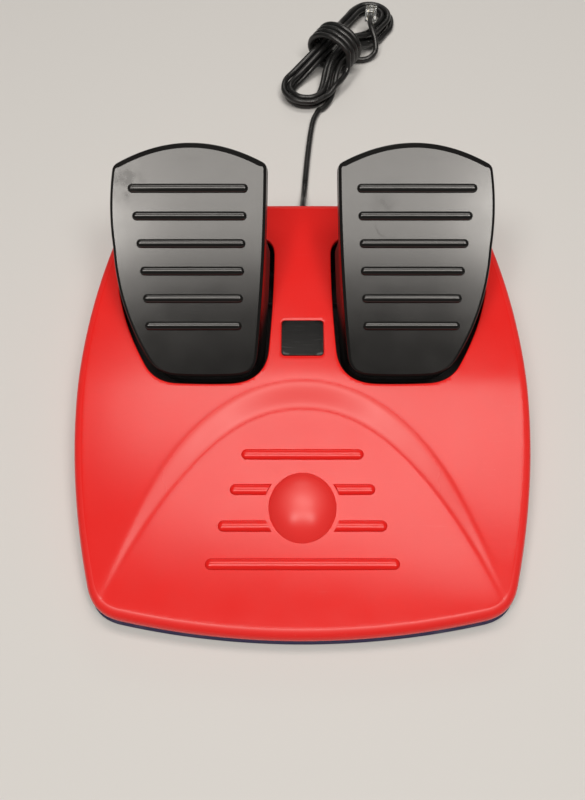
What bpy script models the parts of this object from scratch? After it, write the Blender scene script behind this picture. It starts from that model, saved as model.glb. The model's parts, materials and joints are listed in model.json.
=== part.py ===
"""Two-pedal foot controller for a racing wheel.

A red moulded cover on a navy tray carries two sprung black pedals.  Each pedal turns on a steel axle in its
own well, and a toothed quadrant under it turns the pinion of a potentiometer.  A thin cord leaves the back,
lies in a wrapped hank and ends in a clear modular plug.

Units are metres.  +Z is up, +Y points from the heel rest to the toes, +X is to the right of a seated user.
The origin is the middle of the footprint, on the floor.
"""
import math

import bmesh
import bpy
from mathutils import Matrix, Vector

MM = 0.001

# Fits
TOUCH_GAP = 0.3 * MM
RUNNING_GAP = 0.3 * MM
OPENING_GAP = 1.0 * MM

# Base outline
BASE_LENGTH = 282 * MM
BASE_WIDTH = 272.2 * MM
BASE_FRONT_TAPER = 45 * MM
BASE_BACK_TAPER = 38.6 * MM
BASE_FRONT_BOW = 13.9 * MM
BASE_BACK_BOW = 2 * MM
BASE_CORNER = 14 * MM
BASE_FRONT_STEPS = 6
BASE_SIDE_STEPS = 14
BASE_BACK_STEPS = 5
BASE_FRONT_WIDTH = BASE_WIDTH - BASE_FRONT_TAPER
BASE_BACK_WIDTH = BASE_WIDTH - BASE_BACK_TAPER
FRONT_Y = -BASE_LENGTH / 2
BACK_Y = BASE_LENGTH / 2

# Cover heights, read along the length
FOOT_DROP = 2 * MM
TRAY_FLOOR = 2.2 * MM
TRAY_RIM_TOP = 6 * MM
TRAY_RIM_INSET = 0.3 * MM
TRAY_LIP_THICKNESS = 1.8 * MM
TRAY_LIP_HEIGHT = 3.5 * MM
TRAY_EDGE_ROUNDING = 3 * MM
COVER_FRONT_HEIGHT = 16 * MM
COVER_CREST_HEIGHT = 36.6 * MM
COVER_BACK_HEIGHT = 47 * MM
COVER_CREST_Y = 6 * MM
COVER_CREST_BLEND = 16 * MM
COVER_WALL = 2.5 * MM
COVER_DRAFT = 0.8 * MM
COVER_EDGE_RADIUS = 5 * MM
EDGE_STEPS = 3

# Heel scoop
SCOOP_SIDE_LAND = 3.6 * MM
SCOOP_FRONT_LAND = 17.5 * MM
SCOOP_HALF_WIDTH = BASE_FRONT_WIDTH / 2 - SCOOP_SIDE_LAND
SCOOP_TIP_Y = FRONT_Y + SCOOP_FRONT_LAND
SCOOP_CREST_Y = 6.4 * MM
SCOOP_FLOOR_Y = -7.2 * MM
SCOOP_FLOOR_HEIGHT = 28.4 * MM
SCOOP_CREST_POWER = 2.35
SCOOP_FLOOR_POWER = 2.15
SCOOP_RAMP_OVERRUN = 1.8
SCOOP_RAMP_STEP = 0.1 * MM
SCOOP_FRONT_OVERRUN = 10 * MM
SCOOP_STEPS = 28

# Dome and heel ribs
DOME_WIDTH = 38.4 * MM
DOME_LENGTH = 41.4 * MM
DOME_HEIGHT = 8.5 * MM
DOME_FRONT_LAND = 72 * MM
DOME_Y = FRONT_Y + DOME_FRONT_LAND
DOME_RING = 2.6 * MM
HEEL_RIB_COUNT = 4
HEEL_RIB_LEAD = 31.8 * MM
HEEL_RIB_FIRST_Y = DOME_Y + HEEL_RIB_LEAD
HEEL_RIB_PITCH = 21.3 * MM
HEEL_RIB_FIRST_HALF = 35.6 * MM
HEEL_RIB_GROWTH = 5.9 * MM
HEEL_RIB_WIDTH = 6.6 * MM
HEEL_RIB_HEIGHT = 2.2 * MM
RIB_ROOT = 0.5 * MM

# Badge plate
BADGE_WIDTH = 25.6 * MM
BADGE_LENGTH = 24.4 * MM
BADGE_Y = 36 * MM
BADGE_THICKNESS = 1.0 * MM
BADGE_RECESS = 1.1 * MM
BADGE_CORNER = 2.5 * MM

# Pedal openings in the cover, |x| and y
OPENING_INNER_TOE = 18.6 * MM
OPENING_INNER_HEEL = 22.4 * MM
OPENING_SIDE_LAND = 18.6 * MM
OPENING_BACK_LAND = 26 * MM
OPENING_HEEL_TAPER = 29.5 * MM
OPENING_TOE_TAPER = 9.5 * MM
OPENING_SHOULDER_X = BASE_WIDTH / 2 - OPENING_SIDE_LAND
OPENING_SHOULDER_Y = 70 * MM
OPENING_OUTER_HEEL = OPENING_SHOULDER_X - OPENING_HEEL_TAPER
OPENING_OUTER_TOE = OPENING_SHOULDER_X - OPENING_TOE_TAPER
OPENING_HEEL_Y = 6.2 * MM
OPENING_TOE_Y = BACK_Y - OPENING_BACK_LAND
OPENING_INNER_HEEL_CORNER = 14 * MM
OPENING_OUTER_HEEL_CORNER = 12 * MM
OPENING_TOE_CORNER = 10.5 * MM
OPENING_OUTER_BOW = 6.5 * MM
OPENING_SHOULDER_BOW = 2.5 * MM
OPENING_STRAIGHT_BOW = 1.5 * MM

# Pedal face, |x| and distance s along the sloping face from the heel
PEDAL_TILT = math.radians(33)
PEDAL_HEEL_Y = 12.2 * MM
PEDAL_HEEL_HEIGHT = 36 * MM
PEDAL_INNER_ROOM = 5.9 * MM
PEDAL_OUTER_ROOM = 4 * MM
PEDAL_SHOULDER_ROOM = 4.1 * MM
PEDAL_TOE_ROOM = 2.6 * MM
PEDAL_TOE_TAPER = 0.4 * MM
PEDAL_INNER_HEEL = OPENING_INNER_HEEL + PEDAL_INNER_ROOM
PEDAL_OUTER_HEEL = OPENING_OUTER_HEEL - PEDAL_OUTER_ROOM
PEDAL_SHOULDER_X = OPENING_SHOULDER_X - PEDAL_SHOULDER_ROOM
PEDAL_SHOULDER_S = 75 * MM
PEDAL_OUTER_TOE = PEDAL_SHOULDER_X - PEDAL_TOE_TAPER
PEDAL_INNER_TOE = OPENING_INNER_TOE + PEDAL_TOE_ROOM
PEDAL_HEEL_S = -1 * MM
PEDAL_TOE_S = 126 * MM
PEDAL_TOE_ARCH = 11.5 * MM
PEDAL_INNER_HEEL_CORNER = 11 * MM
PEDAL_OUTER_HEEL_CORNER = 14 * MM
PEDAL_OUTER_TOE_CORNER = 7 * MM
PEDAL_INNER_TOE_CORNER = 6 * MM
PEDAL_END_STEPS = 4
PEDAL_OUTER_STEPS = 7
PEDAL_SHOULDER_STEPS = 3
PEDAL_TOE_STEPS = 8
PEDAL_STRAIGHT_BOW = 1.5 * MM
PEDAL_OUTER_BOW = 7.5 * MM
PEDAL_SHOULDER_BOW = 1.8 * MM
PEDAL_FACE = 3 * MM
PEDAL_WALL = 2.5 * MM
PEDAL_EDGE_RADIUS = 3 * MM
PEDAL_FLARE = 0.16
PEDAL_SKIRT_HEEL = 24 * MM
PEDAL_SKIRT_TOE = 11 * MM
PEDAL_TRAVEL = math.radians(18)

# Pedal ribs
PEDAL_RIB_COUNT = 6
PEDAL_RIB_FIRST_S = 28.3 * MM
PEDAL_RIB_PITCH = 16.3 * MM
PEDAL_RIB_WIDTH = 5.5 * MM
PEDAL_RIB_HEIGHT = 2 * MM
PEDAL_RIB_INNER_LAND = 8.1 * MM
PEDAL_RIB_OUTER_LAND = 18.9 * MM
PEDAL_RIB_INNER = PEDAL_INNER_HEEL + PEDAL_RIB_INNER_LAND
PEDAL_RIB_INNER_SHIFT = 0.8 * MM
PEDAL_RIB_OUTER = PEDAL_SHOULDER_X - PEDAL_RIB_OUTER_LAND
PEDAL_RIB_OUTER_GAIN = 9.5 * MM
PEDAL_RIB_OUTER_POWER = 1.4

# Hinge
PIVOT_S = 12 * MM
PIVOT_DEPTH = 16 * MM
AXLE_RADIUS = 2.5 * MM
AXLE_OVERHANG = 1.5 * MM
BARREL_RADIUS = 6.5 * MM
BARREL_INNER_ROOM = 11.3 * MM
BARREL_OUTER_ROOM = 6.4 * MM
BARREL_INNER = PEDAL_INNER_HEEL + BARREL_INNER_ROOM
BARREL_OUTER = PEDAL_OUTER_HEEL - BARREL_OUTER_ROOM
EAR_THICKNESS = 3.5 * MM
EAR_RADIUS = 5 * MM
EAR_CLEARANCE = 0.6 * MM

# Stop leg and rubber stop
STOP_LEG_INSET = 2.6 * MM
STOP_LEG_X = BARREL_OUTER - STOP_LEG_INSET
STOP_LEG_THICKNESS = 3 * MM
STOP_LEG_REACH = 42 * MM
STOP_LEG_DEPTH = 26.5 * MM
STOP_LEG_WIDTH = 8 * MM
STOP_RADIUS = 5 * MM
STOP_TAPER = 1 * MM
STOP_SQUEEZE_GAP = 0.5 * MM

# Return spring
SPRING_TO_LEG = 11 * MM
SPRING_X = STOP_LEG_X - SPRING_TO_LEG
SPRING_Y = 76 * MM
SPRING_TOP = 46 * MM
SPRING_RADIUS = 5.5 * MM
SPRING_WIRE = 1.2 * MM
SPRING_TURNS = 7
SPRING_PEG_RADIUS = 3.4 * MM
SPRING_PEG_LENGTH = 5 * MM
SPRING_BOSS_RADIUS = 8 * MM

# Gear pair
GEAR_MODULE = 1 * MM
QUADRANT_TEETH = 48
PINION_TEETH = 12
PRESSURE_ANGLE = math.radians(20)
TOOTH_ADDENDUM = 0.75
TOOTH_DEDENDUM = 1.1
TOOTH_SHARE = 0.44
QUADRANT_FIRST_TOOTH = -1
QUADRANT_LAST_TOOTH = 3
QUADRANT_INSET = 5.4 * MM
QUADRANT_X = BARREL_INNER + QUADRANT_INSET
QUADRANT_THICKNESS = 4 * MM
QUADRANT_HUB_MARGIN = 0.5 * MM
QUADRANT_FAN = math.radians(40)
PINION_WIDTH = 6 * MM

# Potentiometer
POT_RADIUS = 8.25 * MM
POT_DEPTH = 8 * MM
POT_SHAFT_RADIUS = 2 * MM
POT_BUSH_RADIUS = 3.5 * MM
POT_NUT_RADIUS = 5.2 * MM
POT_NUT_THICKNESS = 1.6 * MM
POT_BLIND_END = 2.5 * MM
POT_EDGE = 0.8 * MM
POT_LUG_LENGTH = 4 * MM
POT_LUG_PITCH = 4 * MM
POT_LUG_WIDTH = 1.6 * MM
POT_LUG_THICKNESS = 0.8 * MM
POT_LUG_INSET = 1 * MM
BRACKET_THICKNESS = 1.5 * MM
BRACKET_WIDTH = 15 * MM
BRACKET_FOOT = 9.5 * MM
BRACKET_TOP_MARGIN = 2 * MM

# Wells
WELL_FLOOR = 2.2 * MM
WELL_WALL = 2 * MM
WELL_LEAD_LAND = 31 * MM
WELL_LEAD_HOLE_Y = OPENING_TOE_Y - WELL_LEAD_LAND
WELL_LEAD_HOLE = 6 * MM

# Screws and feet
SCREW_RADIUS = 1.5 * MM
SCREW_HEAD_RADIUS = 3.2 * MM
SCREW_HEAD_THICKNESS = 1 * MM
SCREW_LENGTH = 11 * MM
BOSS_RADIUS = 4 * MM
WELL_BOSS_HEIGHT = 8 * MM
CASE_SCREW_FRONT_LAND = 20 * MM
CASE_SCREW_SIDE_LAND = 28.5 * MM
CASE_SCREW_BACK_LAND = 13 * MM
CASE_SCREWS = (
    (60 * MM, FRONT_Y + CASE_SCREW_FRONT_LAND),
    (BASE_WIDTH / 2 - CASE_SCREW_SIDE_LAND, -18 * MM),
    (70 * MM, BACK_Y - CASE_SCREW_BACK_LAND),
)
WELL_SCREW_TOE_LAND = 15 * MM
WELL_SCREW_SIDE_LAND = 19.5 * MM
WELL_SCREWS = (
    (31 * MM, OPENING_TOE_Y - WELL_SCREW_TOE_LAND),
    (OPENING_SHOULDER_X - WELL_SCREW_SIDE_LAND, 56 * MM),
)
FOOT_RADIUS = 8 * MM
FOOT_TAPER = 1 * MM
FOOT_RECESS = 0.8 * MM
FOOT_SIDE_LAND = 20.5 * MM
FOOT_FRONT_LAND = 34 * MM
FOOT_BACK_LAND = 24 * MM
FEET = (
    ("front", BASE_FRONT_WIDTH / 2 - FOOT_SIDE_LAND, FRONT_Y + FOOT_FRONT_LAND),
    ("rear", BASE_BACK_WIDTH / 2 - FOOT_SIDE_LAND, BACK_Y - FOOT_BACK_LAND),
)

# Cord and wiring
CORD_DIAMETER = 4.5 * MM
CORD_EXIT_HEIGHT = 12 * MM
LEAD_DIAMETER = 2 * MM
LEAD_SPACING = 1.7 * MM
LEAD_SLACK = 1 * MM
LEAD_BEND = 8 * MM
SPLICE_RADIUS = 4.2 * MM
SPLICE_LENGTH = 14 * MM
SPLICE_BACK_LAND = 36 * MM
SPLICE_START_Y = BACK_Y - SPLICE_BACK_LAND
SPLICE_STRAIGHT = 4.5 * MM
RELIEF_NECK_RADIUS = 4.2 * MM
RELIEF_FLANGE_RADIUS = 5.5 * MM
RELIEF_TIP_RADIUS = 3.3 * MM
RELIEF_FLANGE = 3 * MM
RELIEF_COLLAR = 2 * MM
RELIEF_COLLAR_EDGE = 0.5 * MM
RELIEF_LENGTH = 18 * MM
CORD_DROP_LENGTH = 33 * MM
CORD_RUN_STIFFNESS = 0.35
CORD_RUN_STEPS = 12

# Hank, laid along an axis that leans to the right of +Y
HANK_SIDE = 26 * MM
HANK_BEYOND = 204 * MM
HANK_HEADING = math.radians(31)
HANK_NEAR_ARC = 44 * MM
HANK_FAR_ARC = 65 * MM
HANK_INNER_HALF = 9.5 * MM
HANK_STEP = 5.6 * MM
HANK_WAIST_HALF = 2.6 * MM
HANK_WAIST_STEP = 5.2 * MM
HANK_LAYER = 5.6 * MM
HANK_WAIST_LENGTH = 11 * MM
HANK_FAR_DRAW = 50 * MM
HANK_LIFT = 10.3 * MM
HANK_REVERSAL = 2.175
HANK_TURNS = 4
HANK_RUN_SHARE = 0.35
HANK_ARC_SHARE = 0.15
HANK_STEPS = 28
HANK_ENTRY = ((-62, 20.4), (-53, 21.6))
HANK_CLIMB = ((-44, 20.2, 8.3), (-34, 21.6, 10.8), (-24, 22.4, 11.4), (-15, 21.8, 13.6))
WRAP_FIRST = math.radians(20)
WRAP_TURNS = 3.694
WRAP_STEPS = 20
WRAP_PITCH = 5.4 * MM
WRAP_HALF_WIDTH = 19.4 * MM
WRAP_HALF_HEIGHT = 15 * MM
WRAP_SIDE_SHIFT = 1.3 * MM
TAIL_ROUTE = (
    (11, 9, 2.5),
    (14, 17, 2.5),
    (20, 23.5, 3),
    (28, 25.5, 5.4),
    (34.5, 21.5, 11.2),
    (39, 15.4, 16.2),
    (44, 10.8, 17.6),
)
LEAST_CORD_GAP = 0.4 * MM

# Plug
PLUG_WIDTH = 9.65 * MM
PLUG_HEIGHT = 6.6 * MM
PLUG_LENGTH = 13.5 * MM
PLUG_LATCH_WIDTH = 3.2 * MM
PLUG_LATCH_THICKNESS = 1 * MM
PLUG_LATCH_ROOT = 2 * MM
PLUG_LATCH_SETBACK = 0.6 * MM
PLUG_LATCH_CLEAR = 0.2 * MM
PLUG_ALONG = 56 * MM
PLUG_ACROSS = 5 * MM
PLUG_LIE = 17 * MM
PLUG_TURN = math.radians(-25)

# Places worked out from the sizes above
TRAY_TOP = FOOT_DROP + TRAY_FLOOR
COVER_BOTTOM = TRAY_RIM_TOP + TOUCH_GAP
WELL_BOTTOM = TRAY_TOP + TOUCH_GAP
WELL_TOP_OF_FLOOR = WELL_BOTTOM + WELL_FLOOR
CORD_RADIUS = CORD_DIAMETER / 2
CORD_REST_HEIGHT = CORD_RADIUS + 0.25 * MM
ALONG_PEDAL = Vector((0, math.cos(PEDAL_TILT), math.sin(PEDAL_TILT)))
PEDAL_NORMAL = Vector((0, -math.sin(PEDAL_TILT), math.cos(PEDAL_TILT)))
HEEL_POINT = Vector((0, PEDAL_HEEL_Y, PEDAL_HEEL_HEIGHT))
PIVOT = HEEL_POINT + ALONG_PEDAL * PIVOT_S - PEDAL_NORMAL * PIVOT_DEPTH
GEAR_CENTRES = GEAR_MODULE * (QUADRANT_TEETH + PINION_TEETH) / 2
PINION_CENTRE = PIVOT + Vector((0, GEAR_CENTRES, 0))
PINION_INNER = QUADRANT_X - PINION_WIDTH / 2
PINION_OUTER = QUADRANT_X + PINION_WIDTH / 2
NUT_INNER = PINION_OUTER + 2 * TOUCH_GAP
BRACKET_INNER = NUT_INNER + POT_NUT_THICKNESS + TOUCH_GAP
POT_INNER = BRACKET_INNER + BRACKET_THICKNESS + TOUCH_GAP

PARTS = None
CUTTERS = None


# Scene set-up
def clear_scene():
    for item in list(bpy.data.objects):
        bpy.data.objects.remove(item, do_unlink=True)


def new_collection(name):
    group = bpy.data.collections.new(name)
    bpy.context.scene.collection.children.link(group)
    return group


def finish_material(name, colour, roughness, metallic=0.0):
    surface = bpy.data.materials.get(name)
    if surface is None:
        surface = bpy.data.materials.new(name)
        surface.use_nodes = True
        shader = surface.node_tree.nodes["Principled BSDF"]
        shader.inputs["Base Color"].default_value = (*colour, 1)
        shader.inputs["Roughness"].default_value = roughness
        shader.inputs["Metallic"].default_value = metallic
    return surface


def red_plastic():
    return finish_material("red_plastic", (0.72, 0.02, 0.025), 0.38)


def navy_plastic():
    return finish_material("navy_plastic", (0.015, 0.02, 0.14), 0.45)


def black_plastic():
    return finish_material("black_plastic", (0.012, 0.012, 0.013), 0.42)


def black_rubber():
    return finish_material("black_rubber", (0.02, 0.02, 0.02), 0.8)


def cord_vinyl():
    return finish_material("cord_vinyl", (0.012, 0.012, 0.012), 0.35)


def bright_steel():
    return finish_material("bright_steel", (0.6, 0.6, 0.6), 0.3, 1.0)


def white_nylon():
    return finish_material("white_nylon", (0.8, 0.8, 0.76), 0.5)


def clear_plastic():
    return finish_material("clear_plastic", (0.85, 0.85, 0.82), 0.15)


# Building helpers
def add_part(name, mesh, surface):
    part = bpy.data.objects.new(name, mesh)
    PARTS.objects.link(part)
    mesh.materials.clear()
    mesh.materials.append(surface)
    return part


def add_cutter(name, mesh):
    cutter = bpy.data.objects.new(name, mesh)
    CUTTERS.objects.link(cutter)
    cutter.hide_render = True
    cutter.display_type = "WIRE"
    return cutter


def boolean(target, other, operation):
    step = target.modifiers.new(other.name, "BOOLEAN")
    step.operation = operation
    step.object = other
    step.solver = "EXACT"


def cut(target, cutter):
    boolean(target, cutter, "DIFFERENCE")


def join(target, other):
    boolean(target, other, "UNION")


def mesh_from(bm, name):
    bm.normal_update()
    bmesh.ops.recalc_face_normals(bm, faces=bm.faces)
    if bm.calc_volume(signed=True) < 0:
        bmesh.ops.reverse_faces(bm, faces=bm.faces)
    mesh = bpy.data.meshes.new(name)
    bm.to_mesh(mesh)
    bm.free()
    mesh.shade_smooth()
    mesh.set_sharp_from_angle(angle=math.radians(35))
    return mesh


def loft(name, rings, level_caps=True):
    """Skin a row of equal rings; level caps are single faces, others are strips across the mirror plane."""
    bm = bmesh.new()
    loops = [[bm.verts.new(point) for point in ring] for ring in rings]
    count = len(rings[0])
    for lower, upper in zip(loops, loops[1:]):
        for i in range(count):
            j = (i + 1) % count
            bm.faces.new((lower[i], lower[j], upper[j], upper[i]))
    bm.faces.new(loops[0])
    if level_caps:
        bm.faces.new(loops[-1])
    else:
        top = loops[-1]
        half = count // 2
        bm.faces.new((top[0], top[1], top[-1]))
        for i in range(1, half - 1):
            bm.faces.new((top[i], top[i + 1], top[-i - 1], top[-i]))
        bm.faces.new((top[half - 1], top[half], top[half + 1]))
    return mesh_from(bm, name)


def bowed_outline(corners, closed=True, corner_steps=4):
    """Chain of shallow arcs.  A corner is (x, y, set-back of its rounding, bow of the next side, steps)."""
    count = len(corners)
    sides = count if closed else count - 1

    def on_side(index, t):
        x0, y0, _, bow, _ = corners[index]
        x1, y1 = corners[(index + 1) % count][:2]
        length = math.hypot(x1 - x0, y1 - y0)
        rise = 4 * bow * t * (1 - t) / length
        return Vector((x0 + (x1 - x0) * t + (y1 - y0) * rise, y0 + (y1 - y0) * t - (x1 - x0) * rise))

    points = []
    for index in range(sides):
        x0, y0, setback, _, steps = corners[index]
        x1, y1, next_setback = corners[(index + 1) % count][:3]
        length = math.hypot(x1 - x0, y1 - y0)
        first = setback / length
        last = 1 - next_setback / length
        if setback > 0 and (closed or index > 0):
            before = corners[index - 1]
            reach = setback / math.hypot(x0 - before[0], y0 - before[1])
            start = on_side((index - 1) % count, 1 - reach)
            end = on_side(index, first)
            corner = Vector((x0, y0))
            for k in range(1, corner_steps):
                t = k / corner_steps
                points.append(start * (1 - t) ** 2 + corner * 2 * t * (1 - t) + end * t ** 2)
        points += [on_side(index, first + (last - first) * k / steps) for k in range(steps)]
        if next_setback > 0:
            points.append(on_side(index, last))
    if not closed:
        points.append(Vector(corners[-1][:2]))
    return points


def offset_outline(points, distance):
    """Move every point of a closed counter-clockwise outline outwards along its normal."""
    moved = []
    count = len(points)
    for i in range(count):
        along = points[(i + 1) % count] - points[i - 1]
        outward = Vector((along.y, -along.x)).normalized()
        moved.append(points[i] + outward * distance)
    return moved


def mirrored(points, side):
    return [Vector((point.x * side, point.y)) for point in points]


def prism(name, outline, bottom, top):
    rings = [[(p.x, p.y, bottom) for p in outline], [(p.x, p.y, top) for p in outline]]
    return loft(name, rings)


def cylinder(name, radius, start, end, sides=16, end_radius=None):
    """Straight cylinder or cone between two points."""
    start = Vector(start)
    axis = Vector(end) - start
    bm = bmesh.new()
    tip = radius if end_radius is None else end_radius
    bmesh.ops.create_cone(bm, cap_ends=True, segments=sides, radius1=radius, radius2=tip, depth=axis.length)
    turn = axis.to_track_quat("Z", "Y").to_matrix().to_4x4()
    bm.transform(Matrix.Translation(start + axis / 2) @ turn)
    return mesh_from(bm, name)


def box(name, low, high):
    bm = bmesh.new()
    bmesh.ops.create_cube(bm, size=1)
    low = Vector(low)
    high = Vector(high)
    middle = (low + high) / 2
    bm.transform(Matrix.Translation(middle) @ Matrix.Diagonal((*(high - low), 1)))
    return mesh_from(bm, name)


def side_box(name, side, x_range, y_range, z_range):
    """Box on one side of the mirror plane, with its x range given as distances from that plane."""
    xs = sorted((x_range[0] * side, x_range[1] * side))
    return box(name, (xs[0], y_range[0], z_range[0]), (xs[1], y_range[1], z_range[1]))


def capsule(name, half_length, radius, height, placing, u_steps=10, v_steps=8):
    """Bar along X with round ends, standing up by a height and rooted a little below its seat."""
    bm = bmesh.new()
    bmesh.ops.create_uvsphere(bm, u_segments=u_steps, v_segments=v_steps, radius=radius)
    bm.transform(Matrix.Rotation(math.pi / 2, 4, "Y"))
    reach = half_length - radius
    middle = [v for v in bm.verts if abs(v.co.x) < radius * 0.01]
    for vert in bm.verts:
        if vert not in middle:
            vert.co.x += math.copysign(reach, vert.co.x)
    for vert in bm.verts:
        vert.co.z *= (height + RIB_ROOT) / radius if vert.co.z > 0 else RIB_ROOT / radius
        vert.co.z -= RIB_ROOT
    bm.transform(placing)
    return mesh_from(bm, name)


def turned(name, profile, placing, steps=16):
    """Solid of revolution about local Z from a closed (radius, height) profile."""
    bm = bmesh.new()
    verts = [bm.verts.new((radius, 0, height)) for radius, height in profile]
    edges = [bm.edges.new((verts[i], verts[(i + 1) % len(verts)])) for i in range(len(verts))]
    edges = [e for e in edges if max(abs(v.co.x) for v in e.verts) > 0]
    loose = verts + edges
    full = 2 * math.pi
    bmesh.ops.spin(bm, geom=loose, cent=(0, 0, 0), axis=(0, 0, 1), angle=full, steps=steps, use_merge=True)
    bmesh.ops.remove_doubles(bm, verts=bm.verts, dist=0.001 * MM)
    stray = [e for e in bm.edges if not e.link_faces]
    bmesh.ops.delete(bm, geom=stray, context="EDGES")
    bm.transform(placing)
    return mesh_from(bm, name)


def flat_plate(name, outline, thickness, placing, holes=()):
    """Flat outline with holes, drawn as a 2D curve, extruded both ways and made a mesh."""
    curve = bpy.data.curves.new(name, "CURVE")
    curve.dimensions = "2D"
    curve.fill_mode = "BOTH"
    curve.extrude = thickness / 2
    for ring in (outline, *holes):
        spline = curve.splines.new("POLY")
        spline.points.add(len(ring) - 1)
        for point, place in zip(spline.points, ring):
            point.co = (place[0], place[1], 0, 1)
        spline.use_cyclic_u = True
    mesh = mesh_of_curve(curve, name)
    mesh.transform(placing)
    if placing.determinant() < 0:
        mesh.flip_normals()
    return mesh


def mesh_of_curve(curve, name):
    """Welded mesh of a curve."""
    holder = bpy.data.objects.new(name, curve)
    bpy.context.scene.collection.objects.link(holder)
    bpy.context.view_layer.update()
    evaluated = holder.evaluated_get(bpy.context.evaluated_depsgraph_get())
    raw = bpy.data.meshes.new_from_object(evaluated)
    bpy.data.objects.remove(holder, do_unlink=True)
    bm = bmesh.new()
    bm.from_mesh(raw)
    bmesh.ops.remove_doubles(bm, verts=bm.verts, dist=0.001 * MM)
    return mesh_from(bm, name)


def add_tube(name, path, radius, surface, resolution):
    """Round tube along a row of points, kept as a curve with filled caps."""
    curve = bpy.data.curves.new(name, "CURVE")
    curve.dimensions = "3D"
    curve.bevel_depth = radius
    curve.bevel_resolution = resolution
    curve.use_fill_caps = True
    spline = curve.splines.new("POLY")
    spline.points.add(len(path) - 1)
    for point, place in zip(spline.points, path):
        point.co = (*place, 1)
    spline.use_smooth = True
    curve.materials.append(surface)
    tube = bpy.data.objects.new(name, curve)
    PARTS.objects.link(tube)
    return tube


def smooth_path(points, per_span):
    """Points on a smooth curve through the given ones."""
    points = [Vector(p) for p in points]
    padded = [points[0] * 2 - points[1], *points, points[-1] * 2 - points[-2]]
    path = []
    for a, b, c, d in zip(padded, padded[1:], padded[2:], padded[3:]):
        for k in range(per_span):
            t = k / per_span
            cubic = (b * 3 - a - c * 3 + d) * t ** 3 + (a * 2 - b * 5 + c * 4 - d) * t ** 2
            path.append(b + (cubic + (c - a) * t) / 2)
    path.append(points[-1])
    return path


def path_length(path):
    return sum((b - a).length for a, b in zip(path, path[1:]))


def even_path(path, spacing):
    """The same path with points at an even spacing."""
    total = path_length(path)
    count = max(2, round(total / spacing))
    wanted = [total * k / count for k in range(count + 1)]
    result = [path[0].copy()]
    walked = 0.0
    target = 1
    for a, b in zip(path, path[1:]):
        step = (b - a).length
        while target < count and walked + step >= wanted[target]:
            result.append(a.lerp(b, (wanted[target] - walked) / step))
            target += 1
        walked += step
    result.append(path[-1].copy())
    return result


def ease(value):
    value = min(1.0, max(0.0, value))
    return value * value * (3 - 2 * value)


# Base surfaces
def cover_height(y):
    """Height of the cover's upper skin: a front slope and a back slope with a rounded crest between."""
    front_slope = (COVER_CREST_HEIGHT - COVER_FRONT_HEIGHT) / (COVER_CREST_Y - FRONT_Y)
    back_slope = (COVER_BACK_HEIGHT - COVER_CREST_HEIGHT) / (BACK_Y - COVER_CREST_Y)
    along = y - COVER_CREST_Y
    mean = (front_slope + back_slope) / 2
    bend = (back_slope - front_slope) / 2
    rounding = math.sqrt(along ** 2 + (COVER_CREST_BLEND / 2) ** 2)
    return COVER_CREST_HEIGHT + mean * along + bend * rounding


def back_slope_angle():
    return math.atan2(cover_height(BADGE_Y + BADGE_LENGTH) - cover_height(BADGE_Y), BADGE_LENGTH)


def plate_slope():
    return (SCOOP_FLOOR_HEIGHT - cover_height(SCOOP_TIP_Y)) / (SCOOP_FLOOR_Y - SCOOP_TIP_Y)


def plate_height(y):
    """Height of the scooped heel plate, which runs out level with the skin at the scoop's tips."""
    return SCOOP_FLOOR_HEIGHT + plate_slope() * (y - SCOOP_FLOOR_Y)


def scoop_floor_edge(x):
    depth = SCOOP_FLOOR_Y - SCOOP_TIP_Y
    return SCOOP_FLOOR_Y - depth * (abs(x) / SCOOP_HALF_WIDTH) ** SCOOP_FLOOR_POWER


def scoop_crest_edge(x):
    depth = SCOOP_CREST_Y - SCOOP_TIP_Y
    return SCOOP_CREST_Y - depth * (abs(x) / SCOOP_HALF_WIDTH) ** SCOOP_CREST_POWER


def skin_height(x, y):
    inside = abs(x) < SCOOP_HALF_WIDTH and y < scoop_floor_edge(x)
    return min(plate_height(y), cover_height(y)) if inside else cover_height(y)


def base_outline():
    """Footprint, counter-clockwise from the middle of the front edge."""
    half_front = BASE_FRONT_WIDTH / 2
    half_back = BASE_BACK_WIDTH / 2
    side_bow = BASE_WIDTH / 2 - (half_front + half_back) / 2
    corners = [
        (0, FRONT_Y, 0, BASE_FRONT_BOW / 4, BASE_FRONT_STEPS),
        (half_front, FRONT_Y + BASE_FRONT_BOW, BASE_CORNER, side_bow, BASE_SIDE_STEPS),
        (half_back, BACK_Y - BASE_BACK_BOW, BASE_CORNER, BASE_BACK_BOW / 4, BASE_BACK_STEPS),
        (0, BACK_Y, 0, 0, 1),
    ]
    right = bowed_outline(corners, closed=False)
    left = [Vector((-p.x, p.y)) for p in reversed(right[1:-1])]
    return right + left


def skin_ring(outline, inset, drop):
    ring = offset_outline(outline, -inset)
    return [(p.x, p.y, cover_height(p.y) - drop) for p in ring]


def level_ring(outline, inset, height):
    return [(p.x, p.y, height) for p in offset_outline(outline, -inset)]


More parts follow.
